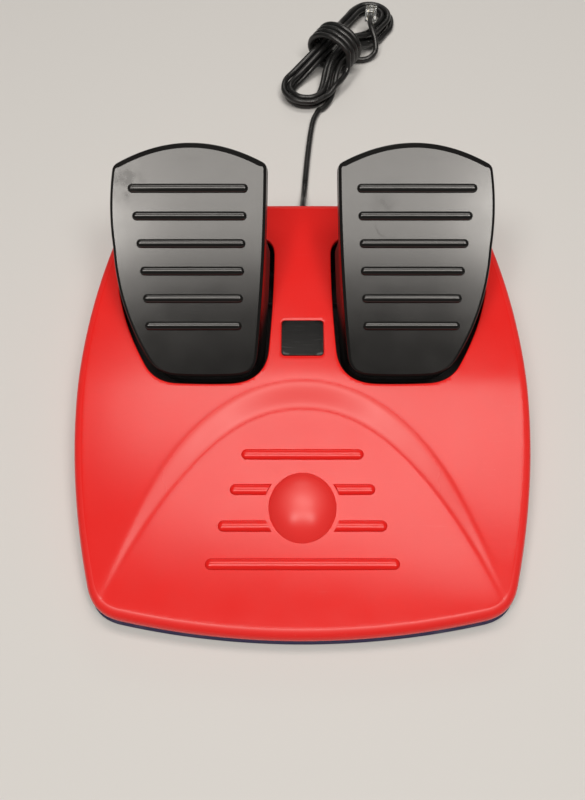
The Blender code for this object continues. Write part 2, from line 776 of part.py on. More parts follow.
def scoop_solid(name, sink):
    """Space above the heel plate; sink moves the whole space down and outwards by a wall."""
    steps = SCOOP_STEPS
    floor_ring = []
    ramp_ring = []
    step_up = Vector((0, 0, SCOOP_RAMP_STEP))
    for k in range(steps + 1):
        x = SCOOP_HALF_WIDTH * math.sin(math.pi / 2 * (2 * k / steps - 1))
        low = Vector((x, scoop_floor_edge(x), 0))
        low.z = plate_height(low.y)
        high = Vector((x, scoop_crest_edge(x), 0))
        high.z = cover_height(high.y)
        outward = Vector((x / SCOOP_HALF_WIDTH, 1 - abs(x) / SCOOP_HALF_WIDTH, 0)) * sink
        down = Vector((0, 0, -sink))
        floor_ring.append(low + outward + down)
        ramp_ring.append(low + (high - low) * SCOOP_RAMP_OVERRUN + outward + down + step_up)
    front = FRONT_Y - SCOOP_FRONT_OVERRUN
    for side in (1, -1):
        corner = Vector((side * SCOOP_HALF_WIDTH, front, plate_height(front) - sink))
        floor_ring.append(corner)
        ramp_ring.append(corner + step_up)
    roof_ring = [Vector((p.x, p.y, 2 * COVER_BACK_HEIGHT)) for p in ramp_ring]
    return loft(name, [floor_ring, ramp_ring, roof_ring])


def heel_placing(y):
    """Places a shape on the heel plate, lying along its slope."""
    turn = Matrix.Rotation(math.atan(plate_slope()), 4, "X")
    return Matrix.Translation((0, y, plate_height(y))) @ turn


def dome_solid():
    """Cap of an ellipsoid, sunk a little into the heel plate."""
    half = DOME_WIDTH / 2
    radius = (half ** 2 + DOME_HEIGHT ** 2) / (2 * DOME_HEIGHT)
    sunk = COVER_WALL / 2
    bm = bmesh.new()
    bmesh.ops.create_uvsphere(bm, u_segments=32, v_segments=32, radius=radius)
    everything = bm.verts[:] + bm.edges[:] + bm.faces[:]
    floor = radius - DOME_HEIGHT - sunk
    bmesh.ops.bisect_plane(bm, geom=everything, plane_co=(0, 0, floor), plane_no=(0, 0, 1), clear_inner=True)
    bmesh.ops.holes_fill(bm, edges=[e for e in bm.edges if e.is_boundary], sides=0)
    stretch = Matrix.Diagonal((1, DOME_LENGTH / DOME_WIDTH, 1, 1))
    drop = Matrix.Translation((0, 0, DOME_HEIGHT - radius))
    bm.transform(heel_placing(DOME_Y) @ stretch @ drop)
    return mesh_from(bm, "dome")


def ring_points(width, length, steps):
    """Ellipse outline."""
    angles = [2 * math.pi * k / steps for k in range(steps)]
    return [Vector((width / 2 * math.cos(a), length / 2 * math.sin(a))) for a in angles]


def heel_ribs():
    """Four bars across the heel plate; the middle two stop short of the dome."""
    keep_clear = prism("dome_ring", ring_points(DOME_WIDTH + 2 * DOME_RING, DOME_LENGTH + 2 * DOME_RING, 32),
                       -BASE_LENGTH, BASE_LENGTH)
    keep_clear.transform(heel_placing(DOME_Y))
    ring = add_cutter("dome_ring", keep_clear)
    ribs = []
    for k in range(HEEL_RIB_COUNT):
        y = HEEL_RIB_FIRST_Y - HEEL_RIB_PITCH * k
        half = HEEL_RIB_FIRST_HALF + HEEL_RIB_GROWTH * k
        rib = add_cutter(f"heel_rib_{k + 1}",
                         capsule("heel_rib", half, HEEL_RIB_WIDTH / 2, HEEL_RIB_HEIGHT, heel_placing(y)))
        cut(rib, ring)
        ribs.append(rib)
    return ribs


def opening_outline(side, grow):
    corners = [
        (OPENING_INNER_HEEL, OPENING_HEEL_Y, OPENING_INNER_HEEL_CORNER, OPENING_STRAIGHT_BOW, 4),
        (OPENING_OUTER_HEEL, OPENING_HEEL_Y, OPENING_OUTER_HEEL_CORNER, OPENING_OUTER_BOW, 6),
        (OPENING_SHOULDER_X, OPENING_SHOULDER_Y, 0, OPENING_SHOULDER_BOW, 3),
        (OPENING_OUTER_TOE, OPENING_TOE_Y, OPENING_TOE_CORNER, 0, 2),
        (OPENING_INNER_TOE, OPENING_TOE_Y, OPENING_TOE_CORNER, OPENING_STRAIGHT_BOW, 4),
    ]
    return mirrored(offset_outline(bowed_outline(corners), grow), side)


def badge_solid(name, grow, bottom, top):
    half_width = BADGE_WIDTH / 2 + grow
    half_length = BADGE_LENGTH / 2 + grow
    corner = BADGE_CORNER
    corners = [
        (-half_width, -half_length, corner, 0, 1),
        (half_width, -half_length, corner, 0, 1),
        (half_width, half_length, corner, 0, 1),
        (-half_width, half_length, corner, 0, 1),
    ]
    mesh = prism(name, bowed_outline(corners), bottom, top)
    turn = Matrix.Rotation(back_slope_angle(), 4, "X")
    mesh.transform(Matrix.Translation((0, BADGE_Y, cover_height(BADGE_Y))) @ turn)
    return mesh


def relief_slot(name, outer, inner):
    """Slot in the back wall for the neck of the strain relief, open at its lower edge."""
    half = RELIEF_NECK_RADIUS + TOUCH_GAP
    steps = 8
    angles = [math.pi * k / steps for k in range(steps + 1)]
    arc = [(half * math.cos(a), CORD_EXIT_HEIGHT + half * math.sin(a)) for a in angles]
    outline = arc + [(-half, 0), (half, 0)]
    turn = Matrix(((1, 0, 0, 0), (0, 0, -1, (outer + inner) / 2), (0, 1, 0, 0), (0, 0, 0, 1)))
    return flat_plate(name, outline, outer - inner, turn)


def mirrored_places(places):
    return [(side * x, y) for x, y in places for side in (1, -1)]


def build_cover():
    outline = base_outline()
    rings = [level_ring(outline, 0, COVER_BOTTOM)]
    for k in range(EDGE_STEPS + 1):
        a = math.pi / 2 * k / EDGE_STEPS
        inset = COVER_DRAFT + COVER_EDGE_RADIUS * (1 - math.cos(a))
        rings.append(skin_ring(outline, inset, COVER_EDGE_RADIUS * (1 - math.sin(a))))
    cover = add_part("top_cover", loft("top_cover", rings, level_caps=False), red_plastic())

    wall = COVER_WALL + COVER_DRAFT
    core_rings = [
        level_ring(outline, wall, COVER_BOTTOM - COVER_WALL),
        skin_ring(outline, wall, COVER_EDGE_RADIUS),
        skin_ring(outline, COVER_DRAFT + COVER_EDGE_RADIUS + TOUCH_GAP, COVER_WALL),
    ]
    core = add_cutter("cover_core", loft("cover_core", core_rings, level_caps=False))
    cut(core, add_cutter("scoop_under", scoop_solid("scoop_under", COVER_WALL)))

    cut(cover, add_cutter("scoop", scoop_solid("scoop", 0)))
    cut(cover, core)
    for side in (1, -1):
        name = f"pedal_opening_{side}"
        depth = cover_height(OPENING_HEEL_Y) - 4 * COVER_WALL
        cut(cover, add_cutter(name, prism(name, opening_outline(side, 0), depth, 2 * COVER_BACK_HEIGHT)))
    cut(cover, add_cutter("badge_recess", badge_solid("badge_recess", TOUCH_GAP, -BADGE_RECESS, COVER_WALL)))
    slot = relief_slot("relief_slot", BACK_Y + COVER_WALL, BACK_Y - 3 * COVER_WALL)
    cut(cover, add_cutter("relief_slot", slot))
    join(cover, add_cutter("dome", dome_solid()))
    for rib in heel_ribs():
        join(cover, rib)
    for index, (x, y) in enumerate(mirrored_places(CASE_SCREWS)):
        name = f"cover_boss_{index + 1}"
        top = skin_height(x, y) - COVER_WALL / 2
        join(cover, add_cutter(name, cylinder(name, BOSS_RADIUS, (x, y, WELL_BOTTOM), (x, y, top), 12)))
        hole = f"cover_pilot_{index + 1}"
        tip = FOOT_DROP + SCREW_HEAD_THICKNESS + SCREW_LENGTH + TOUCH_GAP
        radius = SCREW_RADIUS + TOUCH_GAP
        cut(cover, add_cutter(hole, cylinder(hole, radius, (x, y, 0), (x, y, tip), 10)))


def build_badge():
    floor = TOUCH_GAP - BADGE_RECESS
    mesh = badge_solid("badge_plate", 0, floor, floor + BADGE_THICKNESS)
    add_part("badge_plate", mesh, black_plastic())


def build_tray():
    outline = base_outline()
    lip = COVER_WALL + COVER_DRAFT + TOUCH_GAP
    lip_inner = lip + TRAY_LIP_THICKNESS
    lip_top = TRAY_RIM_TOP + TRAY_LIP_HEIGHT
    rings = [
        level_ring(outline, TRAY_EDGE_ROUNDING, FOOT_DROP),
        level_ring(outline, TRAY_EDGE_ROUNDING * 0.3, FOOT_DROP + TRAY_EDGE_ROUNDING * 0.4),
        level_ring(outline, TRAY_RIM_INSET, TRAY_RIM_TOP),
        level_ring(outline, lip, TRAY_RIM_TOP),
        level_ring(outline, lip, lip_top),
        level_ring(outline, lip_inner, lip_top),
        level_ring(outline, lip_inner, TRAY_TOP),
    ]
    tray = add_part("bottom_tray", loft("bottom_tray", rings), navy_plastic())
    reach = RELIEF_FLANGE_RADIUS + RELIEF_COLLAR_EDGE + 2 * TOUCH_GAP
    low = (-reach, BACK_Y - 2 * lip_inner, TRAY_RIM_TOP - TOUCH_GAP)
    notch = box("lip_notch", low, (reach, BACK_Y - lip / 2, 2 * lip_top))
    cut(tray, add_cutter("lip_notch", notch))
    places = mirrored_places(CASE_SCREWS) + mirrored_places(WELL_SCREWS)
    for index, (x, y) in enumerate(places):
        name = f"tray_hole_{index + 1}"
        radius = SCREW_RADIUS + TOUCH_GAP
        cut(tray, add_cutter(name, cylinder(name, radius, (x, y, 0), (x, y, 2 * TRAY_TOP), 8)))
        name = f"tray_sink_{index + 1}"
        depth = FOOT_DROP + SCREW_HEAD_THICKNESS + 2 * TOUCH_GAP
        radius = SCREW_HEAD_RADIUS + TOUCH_GAP
        cut(tray, add_cutter(name, cylinder(name, radius, (x, y, 0), (x, y, depth), 8)))
    for name, x, y in FEET:
        for side in (1, -1):
            hole = f"foot_recess_{name}_{side}"
            start = (side * x, y, 0)
            end = (side * x, y, FOOT_DROP + FOOT_RECESS)
            cut(tray, add_cutter(hole, cylinder(hole, FOOT_RADIUS + TOUCH_GAP, start, end, 20)))


def build_feet():
    for name, x, y in FEET:
        for side, word in ((1, "right"), (-1, "left")):
            top = FOOT_DROP + FOOT_RECESS - TOUCH_GAP
            start = (side * x, y, 0)
            mesh = cylinder("foot", FOOT_RADIUS - FOOT_TAPER, start, (side * x, y, top), 20, FOOT_RADIUS)
            add_part(f"{name}_{word}_foot", mesh, black_rubber())


def screw_solid(x, y):
    """Flat-headed screw, driven upwards through the tray."""
    head = FOOT_DROP + TOUCH_GAP
    shoulder = head + SCREW_HEAD_THICKNESS
    profile = [
        (0, shoulder + SCREW_LENGTH - 2 * TOUCH_GAP),
        (SCREW_RADIUS, shoulder + SCREW_LENGTH - SCREW_RADIUS),
        (SCREW_RADIUS, shoulder),
        (SCREW_HEAD_RADIUS, shoulder),
        (SCREW_HEAD_RADIUS, head),
        (0, head),
    ]
    return turned("screw", profile, Matrix.Translation((x, y, 0)), 10)


def build_screws():
    for index, (x, y) in enumerate(mirrored_places(CASE_SCREWS)):
        add_part(f"case_screw_{index + 1}", screw_solid(x, y), bright_steel())
    for index, (x, y) in enumerate(mirrored_places(WELL_SCREWS)):
        add_part(f"well_screw_{index + 1}", screw_solid(x, y), bright_steel())


# Wells
def well_rim(y):
    return cover_height(y) - COVER_WALL - 2 * TOUCH_GAP


def ear_outline():
    """Upright ear with a round top, in (y, z) about the pivot."""
    steps = 10
    foot = WELL_BOTTOM + WELL_FLOOR / 2 - PIVOT.z
    arc = [math.pi * k / steps for k in range(steps + 1)]
    points = [(EAR_RADIUS * math.cos(a), EAR_RADIUS * math.sin(a)) for a in arc]
    return points + [(-EAR_RADIUS, foot), (EAR_RADIUS, foot)]


def circle_points(radius, steps):
    angles = [2 * math.pi * k / steps for k in range(steps)]
    return [(radius * math.cos(a), radius * math.sin(a)) for a in angles]


def upright(centre, x):
    """Places a flat outline in a plane of constant x, its first axis along +Y and its second along +Z."""
    return Matrix(((0, 0, 1, x), (1, 0, 0, centre.y), (0, 1, 0, centre.z), (0, 0, 0, 1)))


def build_well(side, word):
    inner = opening_outline(side, OPENING_GAP)
    outer = opening_outline(side, OPENING_GAP + WELL_WALL)
    rings = [
        [(p.x, p.y, WELL_BOTTOM) for p in outer],
        [(p.x, p.y, well_rim(p.y)) for p in outer],
        [(p.x, p.y, well_rim(p.y)) for p in inner],
        [(p.x, p.y, WELL_TOP_OF_FLOOR) for p in inner],
    ]
    well = add_part(f"{word}_well", loft("well", rings), black_plastic())
    ear_offset = EAR_CLEARANCE + EAR_THICKNESS / 2
    for index, x in enumerate((BARREL_INNER - ear_offset, BARREL_OUTER + ear_offset)):
        hole = circle_points(AXLE_RADIUS + TOUCH_GAP, 16)
        mesh = flat_plate("ear", ear_outline(), EAR_THICKNESS, upright(PIVOT, side * x), (hole,))
        join(well, add_cutter(f"{word}_ear_{index + 1}", mesh))
    stub_top = WELL_TOP_OF_FLOOR + SPRING_PEG_LENGTH
    stub_foot = (side * SPRING_X, SPRING_Y, WELL_BOTTOM + WELL_FLOOR / 2)
    stub = cylinder("spring_stub", SPRING_PEG_RADIUS, stub_foot, (side * SPRING_X, SPRING_Y, stub_top), 12)
    join(well, add_cutter(f"{word}_spring_stub", stub))
    for index, (x, y) in enumerate(WELL_SCREWS):
        boss_top = WELL_TOP_OF_FLOOR + WELL_BOSS_HEIGHT
        foot = (side * x, y, WELL_BOTTOM + WELL_FLOOR / 2)
        boss = cylinder("well_boss", BOSS_RADIUS, foot, (side * x, y, boss_top), 12)
        join(well, add_cutter(f"{word}_boss_{index + 1}", boss))
        tip = FOOT_DROP + SCREW_HEAD_THICKNESS + SCREW_LENGTH + TOUCH_GAP
        pilot = cylinder("well_pilot", SCREW_RADIUS + TOUCH_GAP, (side * x, y, 0), (side * x, y, tip), 10)
        cut(well, add_cutter(f"{word}_pilot_{index + 1}", pilot))
    half = WELL_LEAD_HOLE / 2
    low = WELL_TOP_OF_FLOOR + TOUCH_GAP
    slot = side_box("lead_hole", side, (0, OPENING_INNER_HEEL + WELL_WALL),
                    (WELL_LEAD_HOLE_Y - half, WELL_LEAD_HOLE_Y + half), (low, low + WELL_LEAD_HOLE))
    cut(well, add_cutter(f"{word}_lead_hole", slot))


def build_axle(side, word):
    ends = EAR_CLEARANCE + EAR_THICKNESS + AXLE_OVERHANG
    start = PIVOT + Vector((side * (BARREL_INNER - ends), 0, 0))
    end = PIVOT + Vector((side * (BARREL_OUTER + ends), 0, 0))
    add_part(f"{word}_axle", cylinder("axle", AXLE_RADIUS, start, end, 16), bright_steel())


# Pedals, drawn about the pivot with local Y along the face and local Z along its normal
def pedal_outline():
    corners = [
        (PEDAL_INNER_HEEL, PEDAL_HEEL_S, PEDAL_INNER_HEEL_CORNER, PEDAL_STRAIGHT_BOW, PEDAL_END_STEPS),
        (PEDAL_OUTER_HEEL, PEDAL_HEEL_S, PEDAL_OUTER_HEEL_CORNER, PEDAL_OUTER_BOW, PEDAL_OUTER_STEPS),
        (PEDAL_SHOULDER_X, PEDAL_SHOULDER_S, 0, PEDAL_SHOULDER_BOW, PEDAL_SHOULDER_STEPS),
        (PEDAL_OUTER_TOE, PEDAL_TOE_S, PEDAL_OUTER_TOE_CORNER, PEDAL_TOE_ARCH, PEDAL_TOE_STEPS),
        (PEDAL_INNER_TOE, PEDAL_TOE_S, PEDAL_INNER_TOE_CORNER, PEDAL_STRAIGHT_BOW, PEDAL_END_STEPS),
    ]
    return bowed_outline(corners)


def skirt_depth(s):
    toe = PEDAL_TOE_S + PEDAL_TOE_ARCH
    return PEDAL_SKIRT_HEEL + (PEDAL_SKIRT_TOE - PEDAL_SKIRT_HEEL) * s / toe


def pedal_ring(outline, side, grow, depth):
    """Ring of the pedal shell; grow and depth are functions of the distance along the face."""
    ring = []
    for near, far in zip(outline, offset_outline(outline, 1 * MM)):
        outward = (far - near) / (1 * MM)
        point = near + outward * grow(near.y)
        ring.append((side * point.x, point.y - PIVOT_S, PIVOT_DEPTH - depth(near.y)))
    return ring


def pedal_placing():
    return Matrix.Translation(PIVOT) @ Matrix.Rotation(PEDAL_TILT, 4, "X")


def pedal_shell(side):
    outline = pedal_outline()
    rings = []
    for k in range(EDGE_STEPS, -1, -1):
        a = math.pi / 2 * k / EDGE_STEPS
        inset = PEDAL_EDGE_RADIUS * (1 - math.cos(a))
        drop = PEDAL_EDGE_RADIUS * (1 - math.sin(a))
        rings.append(pedal_ring(outline, side, lambda s, d=inset: -d, lambda s, d=drop: d))
    rings.append(pedal_ring(outline, side, lambda s: PEDAL_FLARE * skirt_depth(s), skirt_depth))
    rings.append(pedal_ring(outline, side, lambda s: PEDAL_FLARE * skirt_depth(s) - PEDAL_WALL, skirt_depth))
    rings.append(pedal_ring(outline, side, lambda s: -PEDAL_WALL, lambda s: PEDAL_FACE))
    return loft("pedal", rings)


def pedal_ribs(side):
    """Raised bars across the pedal, each a little longer than the one below."""
    ribs = []
    for k in range(PEDAL_RIB_COUNT):
        share = k / (PEDAL_RIB_COUNT - 1)
        inner = PEDAL_RIB_INNER - PEDAL_RIB_INNER_SHIFT * k
        outer = PEDAL_RIB_OUTER + PEDAL_RIB_OUTER_GAIN * share ** PEDAL_RIB_OUTER_POWER
        s = PEDAL_RIB_FIRST_S + PEDAL_RIB_PITCH * k
        place = Matrix.Translation((side * (inner + outer) / 2, s - PIVOT_S, PIVOT_DEPTH))
        ribs.append(capsule("pedal_rib", (outer - inner) / 2, PEDAL_RIB_WIDTH / 2, PEDAL_RIB_HEIGHT,
                            pedal_placing() @ place, 10, 6))
    return ribs


def stop_leg(side):
    """Web from the barrel to the face whose tip lands on the rubber stop."""
    under = PIVOT_DEPTH - PEDAL_FACE / 2
    back = STOP_LEG_REACH + STOP_LEG_WIDTH / 2
    front = STOP_LEG_REACH - STOP_LEG_WIDTH / 2
    outline = [
        (-BARREL_RADIUS, under),
        (-BARREL_RADIUS, 0),
        (0, -BARREL_RADIUS),
        (front, -STOP_LEG_DEPTH),
        (back, -STOP_LEG_DEPTH),
        (back + STOP_LEG_WIDTH, under),
    ]
    place = upright(Vector((0, 0, 0)), side * STOP_LEG_X)
    return flat_plate("stop_leg", outline, STOP_LEG_THICKNESS, pedal_placing() @ place)


def spring_boss(side):
    """Boss under the face, cut level where the spring seats."""
    seat = Vector((side * SPRING_X, SPRING_Y, SPRING_TOP + TOUCH_GAP))
    local = pedal_placing().inverted() @ seat
    top = Vector((local.x, local.y, PIVOT_DEPTH - PEDAL_FACE / 2))
    foot = Vector((local.x, local.y, local.z - 2 * SPRING_BOSS_RADIUS))
    mesh = cylinder("spring_boss", SPRING_BOSS_RADIUS, foot, top, 16)
    mesh.transform(pedal_placing())
    bm = bmesh.new()
    bm.from_mesh(mesh)
    everything = bm.verts[:] + bm.edges[:] + bm.faces[:]
    bmesh.ops.bisect_plane(bm, geom=everything, plane_co=seat, plane_no=(0, 0, 1), clear_inner=True)
    bmesh.ops.holes_fill(bm, edges=[e for e in bm.edges if e.is_boundary], sides=0)
    return mesh_from(bm, "spring_boss")


def tooth_half_angle(radius, teeth):
    """Half the angle that an involute tooth fills at a radius."""
    pitch = GEAR_MODULE * teeth / 2
    base = pitch * math.cos(PRESSURE_ANGLE)

    def spread(r):
        roll = math.acos(min(1.0, base / r))
        return math.tan(roll) - roll

    return math.pi * TOOTH_SHARE / teeth + spread(pitch) - spread(max(radius, base))


def tooth_points(teeth, middle):
    """One tooth, root to tip and back, at an angle about the gear's centre."""
    pitch = GEAR_MODULE * teeth / 2
    root = pitch - GEAR_MODULE * TOOTH_DEDENDUM
    tip = pitch + GEAR_MODULE * TOOTH_ADDENDUM
    radii = [root + (tip - root) * k / 4 for k in range(5)]
    rising = [(r, middle - tooth_half_angle(r, teeth)) for r in radii]
    falling = [(r, middle + tooth_half_angle(r, teeth)) for r in reversed(radii)]
    return [(r * math.cos(a), r * math.sin(a)) for r, a in rising + falling]


def quadrant(side):
    """Toothed fan about the pivot that drives the pinion."""
    step = 2 * math.pi / QUADRANT_TEETH
    outline = []
    for k in range(QUADRANT_FIRST_TOOTH, QUADRANT_LAST_TOOTH + 1):
        outline += tooth_points(QUADRANT_TEETH, k * step)
    hub = BARREL_RADIUS + QUADRANT_HUB_MARGIN
    start = (QUADRANT_LAST_TOOTH + 1) * step + QUADRANT_FAN
    end = 2 * math.pi + (QUADRANT_FIRST_TOOTH - 1) * step - QUADRANT_FAN
    steps = 10
    for k in range(steps + 1):
        a = start + (end - start) * k / steps
        outline.append((hub * math.cos(a), hub * math.sin(a)))
    return flat_plate("quadrant", outline, QUADRANT_THICKNESS, upright(PIVOT, side * QUADRANT_X))


def build_pedal(side, word):
    mesh = pedal_shell(side)
    pedal = add_part(f"{word}_pedal", mesh, black_plastic())
    pedal.location = PIVOT
    pedal.rotation_euler = (PEDAL_TILT, 0, 0)
    barrel_start = PIVOT + Vector((side * BARREL_INNER, 0, 0))
    barrel_end = PIVOT + Vector((side * BARREL_OUTER, 0, 0))
    peg_foot = (side * SPRING_X, SPRING_Y, SPRING_TOP + TOUCH_GAP - SPRING_PEG_LENGTH)
    peg_top = (side * SPRING_X, SPRING_Y, SPRING_TOP + SPRING_PEG_LENGTH)
    additions = [
        cylinder("barrel", BARREL_RADIUS, barrel_start, barrel_end, 20),
        quadrant(side),
        stop_leg(side),
        spring_boss(side),
        cylinder("spring_peg", SPRING_PEG_RADIUS, peg_foot, peg_top, 12),
        *pedal_ribs(side),
    ]
    for index, extra in enumerate(additions):
        join(pedal, add_cutter(f"{word}_{extra.name}_{index}", extra))
    overshoot = Vector((side * EAR_CLEARANCE, 0, 0))
    bore = cylinder("bore", AXLE_RADIUS + RUNNING_GAP, barrel_start - overshoot, barrel_end + overshoot, 16)
    cut(pedal, add_cutter(f"{word}_bore", bore))


def pressed(point):
    """Where a point of the pedal goes at full travel."""
    return PIVOT + Matrix.Rotation(-PEDAL_TRAVEL, 3, "X") @ (point - PIVOT)


def build_bump_stop(side, word):
    tip = pedal_placing() @ Vector((0, STOP_LEG_REACH, -STOP_LEG_DEPTH))
    back_tip = pedal_placing() @ Vector((0, STOP_LEG_REACH - STOP_LEG_WIDTH / 2, -STOP_LEG_DEPTH))
    landing = pressed(tip)
    top = min(landing.z, pressed(back_tip).z) - STOP_SQUEEZE_GAP
    start = (side * STOP_LEG_X, landing.y, WELL_TOP_OF_FLOOR + TOUCH_GAP)
    end = (side * STOP_LEG_X, landing.y, top)
    mesh = cylinder("bump_stop", STOP_RADIUS, start, end, 16, STOP_RADIUS - STOP_TAPER)
    add_part(f"{word}_bump_stop", mesh, black_rubber())


def helix(centre, radius, bottom, top, turns, points_per_turn):
    count = round(turns * points_per_turn)
    path = []
    for k in range(count + 1):
        a = 2 * math.pi * turns * k / count
        height = bottom + (top - bottom) * k / count
        path.append(Vector((centre[0] + radius * math.cos(a), centre[1] + radius * math.sin(a), height)))
    return path


def build_spring(side, word):
    bottom = WELL_TOP_OF_FLOOR + TOUCH_GAP + SPRING_WIRE / 2
    top = SPRING_TOP - SPRING_WIRE / 2
    path = helix((side * SPRING_X, SPRING_Y), SPRING_RADIUS, bottom, top, SPRING_TURNS, 8)
    add_tube(f"{word}_return_spring", path, SPRING_WIRE / 2, bright_steel(), 1)


# Sensor
def pointing_out(side, x):
    """Turns a profile about local Z to lie along the pinion's axis, its height measured outwards from x."""
    turn = Matrix.Rotation(side * math.pi / 2, 4, "Y")
    return Matrix.Translation(PINION_CENTRE + Vector((side * x, 0, 0))) @ turn


def build_pinion(side, word):
    step = 2 * math.pi / PINION_TEETH
    outline = []
    for k in range(PINION_TEETH):
        outline += tooth_points(PINION_TEETH, (k + 0.5) * step)
    hole = circle_points(POT_SHAFT_RADIUS + TOUCH_GAP, 12)
    mesh = flat_plate("pinion", outline, PINION_WIDTH, upright(PINION_CENTRE, side * QUADRANT_X), (hole,))
    pinion = add_part(f"{word}_pinion", mesh, white_nylon())
    set_origin(pinion, PINION_CENTRE)
    start = PINION_CENTRE + Vector((side * PINION_INNER, 0, 0))
    end = PINION_CENTRE + Vector((side * (POT_INNER + POT_DEPTH - POT_BLIND_END - TOUCH_GAP), 0, 0))
    mesh = cylinder("pot_shaft", POT_SHAFT_RADIUS, start, end, 12)
    shaft = add_part(f"{word}_pot_shaft", mesh, bright_steel())
    set_origin(shaft, PINION_CENTRE)


def set_origin(part, place):
    part.data.transform(Matrix.Translation(-place))
    part.location = place


def build_potentiometer(side, word):
    bore = POT_SHAFT_RADIUS + RUNNING_GAP
    bush_end = PINION_OUTER + TOUCH_GAP - POT_INNER
    blind = POT_DEPTH - POT_BLIND_END
    profile = [
        (0, blind),
        (bore, blind),
        (bore, bush_end),
        (POT_BUSH_RADIUS, bush_end),
        (POT_BUSH_RADIUS, 0),
        (POT_RADIUS, 0),
        (POT_RADIUS, POT_DEPTH - POT_EDGE),
        (POT_RADIUS - POT_EDGE, POT_DEPTH),
        (0, POT_DEPTH),
    ]
    mesh = turned("potentiometer", profile, pointing_out(side, POT_INNER), 20)
    pot = add_part(f"{word}_potentiometer", mesh, bright_steel())
    lug_x = POT_INNER + POT_LUG_INSET
    for k in (-1, 0, 1):
        y = PINION_CENTRE.y + k * POT_LUG_PITCH
        foot = PINION_CENTRE.z - POT_RADIUS
        y_range = (y - POT_LUG_WIDTH / 2, y + POT_LUG_WIDTH / 2)
        z_range = (foot - POT_LUG_LENGTH, foot + POT_LUG_PITCH)
        lug = side_box("lug", side, (lug_x, lug_x + POT_LUG_THICKNESS), y_range, z_range)
        join(pot, add_cutter(f"{word}_lug_{k}", lug))
    nut = flat_plate("pot_nut", circle_points(POT_NUT_RADIUS, 6), POT_NUT_THICKNESS,
                     upright(PINION_CENTRE, side * (NUT_INNER + POT_NUT_THICKNESS / 2)),
                     (circle_points(POT_BUSH_RADIUS + TOUCH_GAP, 16),))
    add_part(f"{word}_pot_nut", nut, bright_steel())


def build_bracket(side, word):
    """Bent steel plate: an upright with the sensor's hole and a foot on the well's floor."""
    foot = WELL_TOP_OF_FLOOR + TOUCH_GAP
    half = BRACKET_WIDTH / 2
    top = PINION_CENTRE.z + POT_NUT_RADIUS + BRACKET_TOP_MARGIN
    low_y = PINION_CENTRE.y - half
    high_y = PINION_CENTRE.y + half
    outer = BRACKET_INNER + BRACKET_THICKNESS
    upright_plate = side_box("bracket", side, (BRACKET_INNER, outer), (low_y, high_y), (foot, top))
    bracket = add_part(f"{word}_pot_bracket", upright_plate, bright_steel())
    x_range = (BRACKET_INNER + BRACKET_THICKNESS / 2, BRACKET_INNER + BRACKET_FOOT)
    z_range = (foot, foot + BRACKET_THICKNESS)
    foot_plate = side_box("bracket_foot", side, x_range, (low_y, high_y), z_range)
    join(bracket, add_cutter(f"{word}_bracket_foot", foot_plate))
    start = PINION_CENTRE + Vector((side * (BRACKET_INNER - BRACKET_THICKNESS), 0, 0))
    end = PINION_CENTRE + Vector((side * (outer + BRACKET_THICKNESS), 0, 0))
    hole = cylinder("bracket_hole", POT_BUSH_RADIUS + TOUCH_GAP, start, end, 16)
    cut(bracket, add_cutter(f"{word}_bracket_hole", hole))


# Wiring inside the base
def build_leads(side, word):
    low = WELL_TOP_OF_FLOOR + WELL_LEAD_HOLE / 2
    lug_foot = PINION_CENTRE.z - POT_RADIUS - POT_LUG_LENGTH
    start_x = POT_INNER + POT_LUG_INSET + POT_LUG_THICKNESS / 2
    start_y = PINION_CENTRE.y + POT_LUG_PITCH
    clear_y = PINION_CENTRE.y + BRACKET_WIDTH / 2 + LEAD_DIAMETER
    end_x = LEAD_SPACING
    route = [
        (start_x, start_y, lug_foot - TOUCH_GAP),
        (start_x, start_y + LEAD_SLACK, low + 1.5 * LEAD_SLACK),
        (start_x, clear_y, low),
        (start_x - LEAD_BEND, clear_y + LEAD_SLACK, low),
        (start_x - 1.5 * LEAD_BEND, (clear_y + WELL_LEAD_HOLE_Y) / 2, low),
        (start_x - 2.5 * LEAD_BEND, WELL_LEAD_HOLE_Y - LEAD_SLACK, low),
        (OPENING_INNER_TOE, WELL_LEAD_HOLE_Y, low),
        (1.5 * LEAD_BEND, WELL_LEAD_HOLE_Y + LEAD_SLACK, low),
        (5 * LEAD_SLACK, WELL_LEAD_HOLE_Y + LEAD_BEND, low),
        (end_x, SPLICE_START_Y - 5 * LEAD_SLACK, low),
        (end_x, SPLICE_START_Y - TOUCH_GAP, low),
    ]
    path = even_path(smooth_path(route, 6), 2 * LEAD_DIAMETER)
    path = [Vector((side * p.x, p.y, p.z)) for p in path]
    add_tube(f"{word}_pot_lead", path, LEAD_DIAMETER / 2, cord_vinyl(), 1)


def build_splice():
    low = WELL_TOP_OF_FLOOR + WELL_LEAD_HOLE / 2
    end_y = SPLICE_START_Y + SPLICE_LENGTH
    mesh = cylinder("splice_sleeve", SPLICE_RADIUS, (0, SPLICE_START_Y, low), (0, end_y, low), 14)
    add_part("splice_sleeve", mesh, black_rubber())
    relief_start = BACK_Y - COVER_WALL - COVER_DRAFT - RELIEF_FLANGE - TOUCH_GAP
    route = [
        (0, end_y + TOUCH_GAP, low),
        (0, end_y + SPLICE_STRAIGHT, low),
        (0, relief_start - SPLICE_STRAIGHT, CORD_EXIT_HEIGHT),
        (0, relief_start - TOUCH_GAP, CORD_EXIT_HEIGHT),
    ]
    add_tube("cord_tail", even_path(smooth_path(route, 6), CORD_DIAMETER), CORD_RADIUS, cord_vinyl(), 2)


